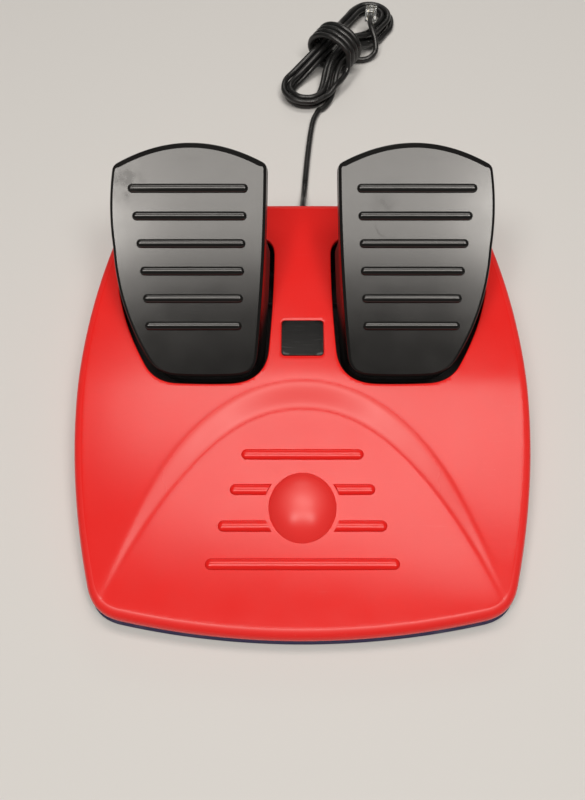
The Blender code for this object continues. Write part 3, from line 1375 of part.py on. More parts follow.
def build_strain_relief():
    """Flanged sleeve held in the slot of the back wall, tapering to the cord."""
    wall_inside = BACK_Y - COVER_WALL - COVER_DRAFT - TOUCH_GAP
    wall_outside = BACK_Y + TOUCH_GAP
    collar = wall_outside + RELIEF_COLLAR
    tip = BACK_Y + RELIEF_LENGTH
    profile = [
        (0, tip),
        (RELIEF_TIP_RADIUS, tip),
        (RELIEF_NECK_RADIUS, collar),
        (RELIEF_FLANGE_RADIUS, collar - RELIEF_COLLAR_EDGE),
        (RELIEF_FLANGE_RADIUS, wall_outside),
        (RELIEF_NECK_RADIUS, wall_outside),
        (RELIEF_NECK_RADIUS, wall_inside),
        (RELIEF_FLANGE_RADIUS, wall_inside),
        (RELIEF_FLANGE_RADIUS, wall_inside - RELIEF_FLANGE),
        (0, wall_inside - RELIEF_FLANGE),
    ]
    place = Matrix.Translation((0, 0, CORD_EXIT_HEIGHT)) @ Matrix.Rotation(-math.pi / 2, 4, "X")
    add_part("strain_relief", turned("strain_relief", profile, place, 20), black_rubber())


# Free cord
def from_hank(along, across, height):
    """World place of a point given along and to the right of the hank's axis."""
    lean_x = math.sin(HANK_HEADING)
    lean_y = math.cos(HANK_HEADING)
    x = HANK_SIDE + along * lean_x + across * lean_y
    y = BACK_Y + HANK_BEYOND + along * lean_y - across * lean_x
    return Vector((x, y, height))


def waist_draw(along):
    """How far the runs are drawn in and lifted: 1 under the wraps, 0 at the end arcs."""
    if along < 0:
        return ease((HANK_NEAR_ARC + along) / (HANK_NEAR_ARC - HANK_WAIST_LENGTH))
    return ease((HANK_FAR_DRAW - along) / (HANK_FAR_DRAW - HANK_WAIST_LENGTH))


def hank_point(turn):
    """Point of the piled loops after a number of turns, counted from the start of the right-hand run."""
    run = HANK_RUN_SHARE
    arc = HANK_ARC_SHARE
    phase = turn % 1
    spiral = abs(turn - HANK_REVERSAL)
    half = HANK_INNER_HALF + HANK_STEP * spiral
    waist = HANK_WAIST_HALF + HANK_WAIST_STEP * spiral
    length = HANK_NEAR_ARC + HANK_FAR_ARC
    side = 1 if phase < run + arc else -1
    step = phase if side > 0 else phase - run - arc
    if step < run:
        along = side * (length * step / run - length / 2) + (HANK_FAR_ARC - HANK_NEAR_ARC) / 2
        draw = waist_draw(along)
        across = side * (half + (waist - half) * draw)
    else:
        angle = math.pi * (step - run) / arc
        centre = HANK_FAR_ARC if side > 0 else -HANK_NEAR_ARC
        along = centre + side * half * math.sin(angle)
        across = side * half * math.cos(angle)
        draw = 0
    layer = ease((turn - HANK_REVERSAL) / run + 0.5)
    height = CORD_REST_HEIGHT + HANK_LAYER * layer + HANK_LIFT * draw
    return from_hank(along, across, height)


def wrap_point(turn):
    """Point of the wraps round the waist."""
    angle = WRAP_FIRST + 2 * math.pi * turn
    along = WRAP_PITCH * (turn - WRAP_TURNS / 2)
    across = WRAP_SIDE_SHIFT + WRAP_HALF_WIDTH * math.cos(angle)
    height = CORD_REST_HEIGHT + WRAP_HALF_HEIGHT * (1 + math.sin(angle))
    return from_hank(along, across, height)


def hank_route():
    """Whole hank as one smooth row of points: entry, piled loops, wraps, tail to the plug."""
    entry = [from_hank(along * MM, across * MM, CORD_REST_HEIGHT) for along, across in HANK_ENTRY]
    loops = [hank_point(k / HANK_STEPS) for k in range(HANK_TURNS * HANK_STEPS)]
    climb = [from_hank(along * MM, across * MM, height * MM) for along, across, height in HANK_CLIMB]
    count = round(WRAP_TURNS * WRAP_STEPS)
    wraps = [wrap_point(WRAP_TURNS * k / count) for k in range(count + 1)]
    tail = [from_hank(along * MM, across * MM, height * MM) for along, across, height in TAIL_ROUTE]
    return entry + loops + climb + wraps + tail


def plug_frame():
    """Centre and pointing direction of the plug, which lies across the far loops."""
    centre = from_hank(PLUG_ALONG, PLUG_ACROSS, PLUG_LIE)
    ahead = from_hank(PLUG_ALONG + math.cos(PLUG_TURN), PLUG_ACROSS + math.sin(PLUG_TURN), PLUG_LIE)
    return centre, (ahead - centre).normalized()


def run_route(start, meeting, onward):
    """Free run: level out of the relief, down to the floor and in a slight bend to the hank."""
    leave = start + Vector((0, CORD_DIAMETER, 0))
    arrive = meeting - onward * CORD_DIAMETER
    reach = (arrive - leave).length * CORD_RUN_STIFFNESS
    points = []
    for k in range(CORD_RUN_STEPS + 1):
        t = k / CORD_RUN_STEPS
        point = leave.lerp(arrive, ease(t))
        point += Vector((0, reach, 0)) * t * (1 - t) ** 2 - onward * reach * t ** 2 * (1 - t)
        drop = ease((point.y - leave.y) / CORD_DROP_LENGTH)
        point.z = CORD_EXIT_HEIGHT + (CORD_REST_HEIGHT - CORD_EXIT_HEIGHT) * drop
        points.append(point)
    return points


def free_cord():
    """Free run from the strain relief to the hank, and the hank on to the plug, each with straight ends."""
    start = Vector((0, BACK_Y + RELIEF_LENGTH + TOUCH_GAP, CORD_EXIT_HEIGHT))
    hank = hank_route()
    meeting = hank[0]
    chord = meeting - start
    chord.z = 0
    onward = ((hank[1] - meeting).normalized() + chord.normalized()).normalized()
    centre, ahead = plug_frame()
    plug_back = centre - ahead * (PLUG_LENGTH / 2 + TOUCH_GAP)
    before = smooth_path(run_route(start, meeting, onward), 8)
    after = smooth_path([meeting + onward * CORD_DIAMETER, *hank[1:], plug_back - ahead * CORD_DIAMETER], 8)
    run_path = [start] + even_path(before, 2.4 * CORD_DIAMETER) + [meeting - onward * TOUCH_GAP / 2]
    hank_path = [meeting + onward * TOUCH_GAP / 2] + even_path(after, 1.9 * CORD_DIAMETER) + [plug_back]
    return run_path, hank_path


def least_gap(path, diameter):
    """Least distance between the skins of two stretches of one tube, measured on points."""
    dense = even_path(path, diameter / 4)
    skip = 12
    least = math.inf
    for i, a in enumerate(dense):
        for b in dense[i + skip:]:
            least = min(least, (a - b).length)
    return least - diameter


def build_cord():
    run, hank = free_cord()
    add_tube("cord_run", run, CORD_RADIUS, cord_vinyl(), 2)
    add_tube("cord_hank", hank, CORD_RADIUS, cord_vinyl(), 1)
    gap = least_gap(run + hank[1:], CORD_DIAMETER)
    print(f"cord length {path_length(run) + path_length(hank):.3f} m, least gap {gap / MM:.2f} mm")
    if gap < LEAST_CORD_GAP:
        print("the cord's turns lie too close")


def build_plug():
    """Modular plug: a block with a sprung latch on its top."""
    centre, ahead = plug_frame()
    turn = ahead.to_track_quat("Y", "Z").to_matrix().to_4x4()
    place = Matrix.Translation(centre) @ turn
    half_length = PLUG_LENGTH / 2
    half_width = PLUG_WIDTH / 2
    half_height = PLUG_HEIGHT / 2
    body = box("plug", (-half_width, -half_length, -half_height), (half_width, half_length, half_height))
    body.transform(place)
    plug = add_part("cord_plug", body, clear_plastic())
    latch_tail = PLUG_LATCH_ROOT - half_length
    root = half_length - PLUG_LATCH_ROOT
    nose = half_length - PLUG_LATCH_SETBACK
    profile = [
        (root, half_height - PLUG_LATCH_THICKNESS),
        (nose, half_height - PLUG_LATCH_THICKNESS),
        (nose, half_height + PLUG_LATCH_THICKNESS),
        (latch_tail, half_height + 3.2 * PLUG_LATCH_THICKNESS),
        (latch_tail, half_height + 2.2 * PLUG_LATCH_THICKNESS),
        (root, half_height + PLUG_LATCH_CLEAR),
    ]
    latch = flat_plate("latch", profile, PLUG_LATCH_WIDTH, place @ upright(Vector((0, 0, 0)), 0))
    join(plug, add_cutter("latch", latch))


def main():
    global PARTS, CUTTERS
    clear_scene()
    PARTS = new_collection("foot_controller")
    CUTTERS = new_collection("cutters")
    build_cover()
    build_tray()
    build_badge()
    build_feet()
    build_screws()
    for side, word in ((-1, "left"), (1, "right")):
        build_well(side, word)
        build_axle(side, word)
        build_pedal(side, word)
        build_bump_stop(side, word)
        build_spring(side, word)
        build_pinion(side, word)
        build_potentiometer(side, word)
        build_bracket(side, word)
        build_leads(side, word)
    build_splice()
    build_strain_relief()
    build_cord()
    build_plug()
    bpy.context.view_layer.update()


main()
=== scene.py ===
"""Looks of a two-pedal foot controller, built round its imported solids.

Units are metres.  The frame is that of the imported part: +Z up, +Y from the heel rest to the toes, floor at zero.
"""

import json
import math

import bmesh
import bpy
import numpy as np
from bpy.props import FloatProperty, FloatVectorProperty, IntProperty, PointerProperty
from bpy.types import Operator, Panel, PropertyGroup
from mathutils import Matrix, Vector


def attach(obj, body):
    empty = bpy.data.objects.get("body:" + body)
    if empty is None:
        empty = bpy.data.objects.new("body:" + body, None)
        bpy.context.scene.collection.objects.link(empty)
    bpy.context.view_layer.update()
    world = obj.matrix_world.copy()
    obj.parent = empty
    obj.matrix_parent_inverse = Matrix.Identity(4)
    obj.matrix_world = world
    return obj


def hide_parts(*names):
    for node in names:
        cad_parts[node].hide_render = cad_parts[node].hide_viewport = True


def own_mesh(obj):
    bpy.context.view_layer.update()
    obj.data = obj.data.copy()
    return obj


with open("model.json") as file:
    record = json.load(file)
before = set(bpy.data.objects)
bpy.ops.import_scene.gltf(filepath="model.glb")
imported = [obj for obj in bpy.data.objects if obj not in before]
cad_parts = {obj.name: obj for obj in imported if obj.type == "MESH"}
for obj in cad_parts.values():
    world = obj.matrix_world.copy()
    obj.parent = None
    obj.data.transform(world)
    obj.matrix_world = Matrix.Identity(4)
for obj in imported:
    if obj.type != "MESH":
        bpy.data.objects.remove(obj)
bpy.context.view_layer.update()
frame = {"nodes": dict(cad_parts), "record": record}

bl_info = {
    "name": "Two-pedal foot controller",
    "version": (1, 0, 0),
    "blender": (4, 5, 0),
    "location": "3D View > Sidebar > Foot Controller",
    "description": "Models and finishes a two-pedal foot controller round its packed solids",
    "category": "Object",
}

MM = 0.001
SIDES = ((-1, "left"), (1, "right"))
UP = Vector((0, 0, 1))
FIT_GAP = 0.3 * MM
MERGE = 1e-6
FINE_MERGE = 1e-7
SHEET_MERGE = 2e-6

# Base
BASE_LENGTH = 282 * MM
BASE_WIDTH = 272.2 * MM
BASE_FRONT_WIDTH = 227.2 * MM
BASE_BACK_WIDTH = 233.6 * MM
BASE_FRONT_BOW = 13.9 * MM
BASE_BACK_BOW = 2 * MM
BASE_CORNER = 14 * MM
FRONT_Y = -BASE_LENGTH / 2
BACK_Y = BASE_LENGTH / 2
COVER_BOTTOM = 6.3 * MM
COVER_FRONT_HEIGHT = 16 * MM
COVER_CREST_HEIGHT = 36.6 * MM
COVER_BACK_HEIGHT = 47 * MM
COVER_CREST_Y = 6 * MM
COVER_CREST_BLEND = 16 * MM
COVER_WALL = 2.5 * MM
COVER_DRAFT = 0.8 * MM
COVER_EDGE_RADIUS = 5 * MM
COVER_LEDGE = 1.7 * MM
LEAST_GAIN = 0.002 * MM
EDGE_WEAR_ANGLE = math.pi / 6
EDGE_WEAR_SPREAD = 0.45
OPENING_EDGE_STEPS = 4
RIM_NEIGHBOURS = 4
RIM_SMOOTHINGS = 8

# Heel scoop, dome and ribs
SCOOP_HALF_WIDTH = 110 * MM
SCOOP_TIP_Y = -123.5 * MM
SCOOP_CREST_Y = 6.4 * MM
SCOOP_FLOOR_Y = -7.2 * MM
SCOOP_FLOOR_HEIGHT = 28.4 * MM
SCOOP_CREST_POWER = 0.66
SCOOP_FLOOR_POWER = 2.15
SCOOP_FLOOR_BLEND = 2 * MM
SCOOP_CREST_BLEND = 3.4 * MM
SCOOP_LEAST_SLOPE = 0.25
SCOOP_SLOPE_BLEND = 0.07
RAMP_PROBE = 0.5 * MM
RAMP_SLOPES = (0.15, 0.27)
RAMP_FADE = (58 * MM, 104 * MM)
# Paler, rougher grainy finish on the ramp, partly a painted sheen
RAMP_GRAIN_AND_SHEEN = 0.65
DOME_WIDTH = 38.4 * MM
DOME_LENGTH = 41.4 * MM
DOME_HEIGHT = 8.5 * MM
DOME_Y = -69 * MM
DOME_RING = 2.6 * MM
DOME_SUNK = 1.25 * MM
DOME_SEGMENTS = 96
DOME_RINGS = 120
# Paler, rougher grainy finish on the dome, most a little behind its crown: partly a painted highlight
DOME_CROWN_GRAIN_AND_SHEEN = 1.1
DOME_RIM_GRAIN_AND_SHEEN = 0.5
DOME_SHEEN_CENTRE_BACK = 2.5 * MM
HEEL_RIB_COUNT = 4
HEEL_RIB_FIRST_Y = -37.2 * MM
HEEL_RIB_PITCH = 21.3 * MM
HEEL_RIB_FIRST_HALF = 35.6 * MM
HEEL_RIB_GROWTH = 5.9 * MM
HEEL_RIB_WIDTH = 6.6 * MM
HEEL_RIB_HEIGHT = 2.2 * MM
HEEL_RIB_STEPS = 36
RIB_ROOT = 0.5 * MM

# Badge plate
BADGE_WIDTH = 25.6 * MM
BADGE_LENGTH = 24.4 * MM
BADGE_Y = 36 * MM
BADGE_THICKNESS = 1 * MM
BADGE_FLOOR = -0.8 * MM
BADGE_RECESS = 1.1 * MM
BADGE_CORNER = 2.5 * MM
# Inset and depth under the top, in millimetres: the edge, the face and the border groove
BADGE_STEPS = (
    (0, BADGE_THICKNESS / MM), (0, 0.25), (0.08, 0.08), (0.25, 0), (1.5, 0), (1.6, 0.12), (1.9, 0.12), (2, 0),
)

# Tray
FOOT_DROP = 2 * MM
TRAY_FLOOR = 2.2 * MM
TRAY_RIM_TOP = 6 * MM
TRAY_EDGE_ROUNDING = 3 * MM
# Inset and rise of the tray's rounded edge, in millimetres
TRAY_EDGE = ((1.9, 0.25), (1.2, 0.7), (0.7, 1.4), (0.45, 2.4), (0.3, 3.7), (0.6, 4.0))
TRAY_POINT_SPACING = 3 * MM
TRAY_LIP_INSET = 3.6 * MM
TRAY_LIP_THICKNESS = 1.8 * MM
TRAY_LIP_HEIGHT = 3.5 * MM
SCREWS = (
    ("case_screw", ((60 * MM, -121 * MM), (107.6 * MM, -18 * MM), (70 * MM, 128 * MM))),
    ("well_screw", ((31 * MM, 100 * MM), (98 * MM, 56 * MM))),
)
SCREW_HEAD_RADIUS = 3.2 * MM
SCREW_HEAD_THICKNESS = 1 * MM
SCREW_SINK_RADIUS = 3.5 * MM
SCREW_SINK_DEPTH = 1.6 * MM
SCREW_RADIUS = 1.5 * MM
SCREW_LENGTH = 11 * MM
SCREW_TIP_RADIUS = 0.2 * MM
SCREW_STEPS = 28
DRIVE_ARM = 1.7 * MM
DRIVE_HALF = 0.38 * MM
DRIVE_DEPTH = 0.7 * MM
DRIVE_TAPER = 0.75
FEET = (("front", 93.1 * MM, -107 * MM), ("rear", 96.3 * MM, 117 * MM))
FOOT_RADIUS = 8 * MM
FOOT_RECESS = 0.8 * MM
# Radius and height, in millimetres
FOOT_PROFILE = ((0, 0.3), (4.4, 0.3), (4.8, 0), (6.5, 0), (6.9, 0.15), (7.15, 0.5), (7.9, 2.3), (7.7, 2.5), (0, 2.5))
SINK_STEPS = 32

# Pedal openings, |x| and y
OPENING_CORNERS = (
    (22.4, 6.2, 21, 1.5),
    (88, 6.2, 12, 3.2),
    (116, 70, 0, 2.6),
    (108, 115, 10.5, 0),
    (18.4, 112, 14, 1.5),
)

# Pedals, |x| and distance along the sloping face
PEDAL_CORNERS = (
    (28.3, -1, 11, 1.5),
    (87, -1.2, 10.5, 5.8),
    (113.4, 75, 0, 1.8),
    (113, 124, 2.5, 13),
    (21.3, 124.5, 2.5, 1.5),
)
PEDAL_TILT = math.radians(33)
PEDAL_HEEL = Vector((0, 12.2 * MM, 36 * MM))
PEDAL_TOE_END = 137.5 * MM
PEDAL_FACE = 3 * MM
PEDAL_WALL = 2.5 * MM
PEDAL_POINT_SPACING = 1.8 * MM
PEDAL_FACE_FRAME = 1.2 * MM
PEDAL_EDGE_RADIUS = 1.4 * MM
PEDAL_BEVEL_ANGLE = math.radians(29)
PEDAL_BEVEL_WIDTH = 1.9 * MM
PEDAL_TOE_BEVEL_WIDTH = 3.7 * MM
PEDAL_SKIRT_FROM = 1.5 * MM
PEDAL_SKIRT_FADE = 4 * MM
PEDAL_FLARE = 0.16
PEDAL_TOE_FLARE = 0.04
PEDAL_OUTER_UPRIGHT = 0.6
PEDAL_SKIRT_HEEL = 24 * MM
PEDAL_SKIRT_TOE = 11 * MM
PEDAL_SKIRT_STEP = (74 * MM, 82 * MM)
PEDAL_LIP = 0.5 * MM
PEDAL_LIP_CREASE = 0.1 * MM
PEDAL_RIB_COUNT = 6
PEDAL_RIB_FIRST_S = 28.3 * MM
PEDAL_RIB_PITCH = 16.3 * MM
PEDAL_RIB_WIDTH = 5.5 * MM
PEDAL_RIB_HEIGHT = 2 * MM
PEDAL_RIB_STEPS = 32
PEDAL_RIB_INNER = 36.4 * MM
PEDAL_RIB_INNER_SHIFT = 0.8 * MM
PEDAL_RIB_OUTER = 94.5 * MM
PEDAL_RIB_OUTER_GAIN = 9.5 * MM
PEDAL_RIB_OUTER_POWER = 1.4
PIVOT_S = 12 * MM
PIVOT_DEPTH = 16 * MM
ALONG_PEDAL = Vector((0, math.cos(PEDAL_TILT), math.sin(PEDAL_TILT)))
PEDAL_NORMAL = Vector((0, -math.sin(PEDAL_TILT), math.cos(PEDAL_TILT)))
PIVOT = PEDAL_HEEL + ALONG_PEDAL * PIVOT_S - PEDAL_NORMAL * PIVOT_DEPTH
PEDAL_PLACING = Matrix.Translation(PIVOT) @ Matrix.Rotation(PEDAL_TILT, 4, "X")

# Pieces under the pedal
BARREL_RADIUS = 6.5 * MM
BARREL_BORE = 2.8 * MM
BARREL_INNER = 39.6 * MM
BARREL_OUTER = 77.6 * MM
BARREL_CHAMFER = 0.4 * MM
BARREL_STEPS = 40
STOP_LEG_X = 75 * MM
STOP_LEG_THICKNESS = 3 * MM
STOP_LEG_REACH = 42 * MM
STOP_LEG_DEPTH = 26.5 * MM
STOP_LEG_WIDTH = 8 * MM
STOP_LEG_ROUNDING = 0.4 * MM
SPRING_X = 64 * MM
SPRING_Y = 76 * MM
SPRING_FLOOR = 7 * MM
SPRING_TOP = 46 * MM
SPRING_SEAT = 46.3 * MM
SPRING_RADIUS = 5.5 * MM
SPRING_WIRE = 1.2 * MM
SPRING_TURNS = 7
SPRING_STEPS = 36
SPRING_END_RISE = 0.2
SPRING_PEG_RADIUS = 2.4 * MM
SPRING_PEG_LENGTH = 5 * MM
SPRING_PEG_CHAMFER = 0.6 * MM
SPRING_PEG_STEPS = 32
SPRING_BOSS_RADIUS = 8 * MM
GEAR_MODULE = 1 * MM
QUADRANT_TEETH = 48
PRESSURE_ANGLE = math.radians(20)
TOOTH_ADDENDUM = 0.75
TOOTH_DEDENDUM = 1.1
TOOTH_SHARE = 0.44
QUADRANT_TEETH_SHOWN = range(-1, 4)
QUADRANT_X = 45 * MM
QUADRANT_THICKNESS = 4 * MM
QUADRANT_HUB = 7 * MM
QUADRANT_FAN = math.radians(40)
TOOTH_STEPS = 6
HUB_STEPS = 20

# Cord
CORD_DIAMETER = 4.5 * MM
CORD_EXIT = Vector((0, BACK_Y + 18.3 * MM, 12 * MM))
CORD_REST_HEIGHT = 2.5 * MM
CORD_DROP_LENGTH = 33 * MM
CORD_RUN_STIFFNESS = 0.35
CORD_RUN_STEPS = 12
CORD_POINT_SPACING = 1.6 * MM
CORD_SPAN_STEPS = 8
CORD_IN_RELIEF = 2 * MM
CORD_IN_PLUG = 5 * MM
# Radius and distance from the back wall, in millimetres; a rib is cut back from its own radius
RELIEF_COLLAR = (
    (0, -6.6), (5.2, -6.6), (5.5, -6.3), (5.5, -3.9), (5.2, -3.6), (4.2, -3.6), (4.2, 0.3), (5.2, 0.3), (5.5, 0.6),
    (5.5, 1.8), (5.0, 2.3), (4.2, 2.3),
)
RELIEF_RIB = ((0, 0), (0.1, 0.2), (0.75, 0.3), (0.75, 1.1), (0.15, 1.2), (0.05, 1.4))
RELIEF_END = ((3.35, 17.2), (3.1, 18), (2.5, 18), (2.32, 17.8), (2.3, 16.2), (0, 16.2))
RELIEF_RIBS = 5
RELIEF_RIB_START = 3.4
RELIEF_RIB_PITCH = 2.75
RELIEF_RIB_RADIUS = 4.2
RELIEF_RIB_TAPER = 0.17
HANK_SIDE = 26 * MM
HANK_Y = 345 * MM
HANK_HEADING = math.radians(31)
HANK_NEAR_ARC = 44 * MM
HANK_FAR_ARC = 65 * MM
HANK_INNER_HALF = 9.5 * MM
HANK_STEP = 5.6 * MM
HANK_WAIST_HALF = 2.6 * MM
HANK_WAIST_STEP = 5.2 * MM
HANK_LAYER = 5.6 * MM
HANK_WAIST_LENGTH = 11 * MM
HANK_FAR_DRAW = 50 * MM
HANK_LIFT = 10.3 * MM
HANK_REVERSAL = 2.175
HANK_TURNS = 4
HANK_RUN_SHARE = 0.35
HANK_ARC_SHARE = 0.15
HANK_STEPS = 28
# Along and across the hank and above the floor, in millimetres
HANK_ENTRY = ((-62, 20.4, 2.5), (-53, 21.6, 2.5))
HANK_CLIMB = ((-44, 20.2, 8.3), (-34, 21.6, 10.8), (-24, 22.4, 11.4), (-15, 21.8, 13.6))
WRAP_FIRST = math.radians(20)
WRAP_TURNS = 3.694
WRAP_STEPS = 20
WRAP_PITCH = 5.4 * MM
WRAP_HALF_WIDTH = 19.4 * MM
WRAP_HALF_HEIGHT = 15 * MM
WRAP_SIDE_SHIFT = 1.3 * MM
TAIL_ROUTE = (
    (11, 9, 2.5),
    (14, 17, 2.5),
    (20, 23.5, 3),
    (28, 25.5, 5.4),
    (34.5, 21.5, 11.2),
    (39, 15.4, 16.2),
    (44, 10.8, 17.6),
)
PLUG_WIDTH = 9.65 * MM
PLUG_HEIGHT = 6.6 * MM
PLUG_LENGTH = 13.5 * MM
PLUG_GAP = 0.3 * MM
PLUG_ROUNDING = 0.3 * MM
PLUG_POCKET_FRAME = 1.9 * MM
PLUG_POCKET_SHIFT = (0, -1.6 * MM, 0.9 * MM)
LATCH_WIDTH = 3.2 * MM
LATCH_ROUNDING = 0.15 * MM
CONTACT_COUNT = 4
CONTACT_PITCH = 1.27 * MM
CONTACT_SIZE = (0.4 * MM, 5 * MM, 1.6 * MM, 1)
CONTACT_BACK = 3.2 * MM
CONTACT_RISE = 0.75 * MM
CONTACT_ROUNDING = 0.08 * MM
PLUG_ALONG = 56 * MM
PLUG_ACROSS = 5 * MM
PLUG_LIE = 17 * MM
PLUG_TURN = math.radians(-25)

# Stage
CAMERA_PLACE = (0, -236.6 * MM, 434.5 * MM)
CAMERA_TILT = math.radians(30)
CAMERA_SHIFT = -0.0125
SENSOR_WIDTH = 36
FLOOR_HALF = 8
ROOM_TINT = (1, 0.985, 0.965, 1)
LAMP_TINT = (1, 0.95, 0.89)
# Size of each softbox, where it hangs and where it points
REAR_SOFTBOX = ((1.6, 0.6), (0.13, 0.52, 2.2), (0.03, 0, 0))
FRONT_SOFTBOX = ((1.7, 0.58), (0, -0.65, 2.2), (0, 0.05, 0))
BACK_SOFTBOX = ((1.2, 0.6), (0, 2.6, 1.5), (0, 0.2, 0))
CORNER_SOFTBOX = ((0.45, 0.6), (0.93, -0.85, 2.2), (0, -0.05, 0))


# Settings
class CoverLook(PropertyGroup):
    """Finish and fineness of the moulded cover and its tray."""
    colour: FloatVectorProperty(name="Red", description="Colour of the moulded cover", subtype="COLOR",
                                size=3, min=0, max=1, default=(0.80, 0.017, 0.014))
    tray_colour: FloatVectorProperty(name="Navy", description="Colour of the bottom tray", subtype="COLOR",
                                     size=3, min=0, max=1, default=(0.008, 0.009, 0.06))
    gloss: FloatProperty(name="Roughness", description="Mean roughness of the moulded skin", subtype="FACTOR",
                         min=0, max=1, default=0.2)
    cell: FloatProperty(name="Cell", description="Spacing of the skin's mesh", subtype="DISTANCE", unit="LENGTH",
                        min=0.8 * MM, max=5 * MM, default=1.5 * MM)
    rim: FloatProperty(name="Opening Rounding", description="Rounding of the pedal openings' edges",
                       subtype="DISTANCE", unit="LENGTH", min=0.2 * MM, max=2 * MM, default=0.8 * MM)
    edge_steps: IntProperty(name="Edge Steps", description="Steps round the cover's outer edge", min=3, max=16,
                            default=9)


class PedalLook(PropertyGroup):
    """Finish of the pedals and the wells they stand in."""
    colour: FloatVectorProperty(name="Black", description="Colour of the pedals", subtype="COLOR", size=3,
                                min=0, max=1, default=(0.009, 0.0088, 0.0085))
    gloss: FloatProperty(name="Roughness", description="Mean roughness of the pedal's face", subtype="FACTOR",
                         min=0, max=1, default=0.18)
    edge_steps: IntProperty(name="Edge Steps", description="Steps round the pedal's top edge", min=3, max=12,
                            default=7)


class CordLook(PropertyGroup):
    """Finish of the cord and its plug."""
    colour: FloatVectorProperty(name="Black", description="Colour of the cord", subtype="COLOR", size=3,
                                min=0, max=1, default=(0.012, 0.012, 0.012))
    gloss: FloatProperty(name="Roughness", description="Roughness of the vinyl", subtype="FACTOR", min=0, max=1,
                         default=0.28)
    roundness: IntProperty(name="Roundness", description="Steps in a quarter of the cord's section", min=2,
                           max=8, default=4)


class StageLook(PropertyGroup):
    """Floor, light and camera."""
    floor: FloatVectorProperty(name="Floor", description="Colour of the floor", subtype="COLOR", size=3, min=0,
                               max=1, default=(0.66, 0.655, 0.645))
    key: FloatProperty(name="Rear Softbox", description="Power of the softbox above the toes", subtype="POWER",
                       unit="POWER", min=0, default=16.5)
    front: FloatProperty(name="Front Softbox", description="Power of the softbox above the user", subtype="POWER",
                         unit="POWER", min=0, default=21)
    sides: FloatProperty(name="Corner Softboxes", description="Power of each softbox at a front corner",
                         subtype="POWER", unit="POWER", min=0, default=11)
    back: FloatProperty(name="Back Softbox", description="Power of the softbox far behind the part", subtype="POWER",
                        unit="POWER", min=0, default=4)
    fill: FloatProperty(name="Fill", description="Strength of the room's light", min=0, default=0.06)
    lens: FloatProperty(name="Lens", description="Focal length of the camera in millimetres", min=10, max=200,
                        default=35.1)


# Materials
NOISE_MIDDLE = (0.3, 0.7)


class Finish:
    """A node material with a Principled shader, built step by step."""

    def __init__(self, name, colour, roughness, **sockets):
        self.material = bpy.data.materials.new(name)
        self.material.use_nodes = True
        self.tree = self.material.node_tree
        self.shader = self.tree.nodes["Principled BSDF"]
        self.drive("Base Color", tuple(colour))
        self.drive("Roughness", roughness)
        for socket, value in sockets.items():
            self.drive(socket.replace("_", " "), value)
        self.places = self.node("TexCoord", "Object")

    def feed(self, socket, value):
        """Sets a socket to a value, or links it where the value is another node's output."""
        if isinstance(value, bpy.types.NodeSocket):
            self.tree.links.new(value, socket)
        else:
            socket.default_value = (*value, 1) if socket.type == "RGBA" else value

    def drive(self, socket, value):
        self.feed(self.shader.inputs[socket], value)

    def node(self, kind, result, *values, settings=None, **named):
        """Output of a new node, with its first sockets and then its named ones fed."""
        node = self.tree.nodes.new(f"ShaderNode{kind}")
        for name, value in (settings or {}).items():
            setattr(node, name, value)
        for socket, value in zip(node.inputs, values):
            self.feed(socket, value)
        for name, value in named.items():
            self.feed(node.inputs[name.replace("_", " ")], value)
        return node.outputs[result]

    def moved(self, turn=(0, 0, 0), scale=(1, 1, 1)):
        return self.node("Mapping", "Vector", Rotation=turn, Scale=scale, Vector=self.places)

    def noise(self, scale, detail=2.0, places=None, distortion=0.0):
        places = self.places if places is None else places
        return self.node("TexNoise", "Fac", Scale=scale, Detail=detail, Distortion=distortion, Vector=places)

    def spread(self, value, low, high, to_low, to_high):
        """Stretches a range of a value to another range, with its ends clamped."""
        return self.node("MapRange", "Result", Value=value, From_Min=low, From_Max=high, To_Min=to_low, To_Max=to_high)

    def maths(self, operation, first, second):
        return self.node("Math", "Value", first, second, settings={"operation": operation})

    def far(self, centre):
        """Distance from a place."""
        return self.node("VectorMath", "Value", self.places, centre, settings={"operation": "DISTANCE"})

    def ball(self, centre, radius):
        """1 in the middle of a ball and 0 at its skin and beyond."""
        return self.spread(self.far(centre), 0, radius, 1, 0)

    def attribute(self, name):
        return self.node("Attribute", "Fac", settings={"attribute_name": name})

    def blend(self, share, first, second):
        """Mix of two colours, each a tuple or an output."""
        return self.node("Mix", "Result", settings={"data_type": "RGBA"}, Factor=share, A=first, B=second)

    def bump(self, height, distance, strength):
        return self.node("Bump", "Normal", Distance=distance, Strength=strength, Height=height)

    def patchy(self, patches, base, tint):
        """Colour that drifts to a tint in patches of (noise scale, detail, low, high, most)."""
        scale, detail, low, high, most = patches
        share = self.spread(self.noise(scale, detail), low, high, 0, most)
        self.drive("Base Color", self.blend(share, base, tint))

    def uneven(self, scale, detail, low, high):
        """Roughness that drifts between two values."""
        self.drive("Roughness", self.spread(self.noise(scale, detail), *NOISE_MIDDLE, low, high))

    def grained(self, scale, detail, depth, strength):
        """Fine relief, its depth in millimetres."""
        self.drive("Normal", self.bump(self.noise(scale, detail), depth * MM, strength))


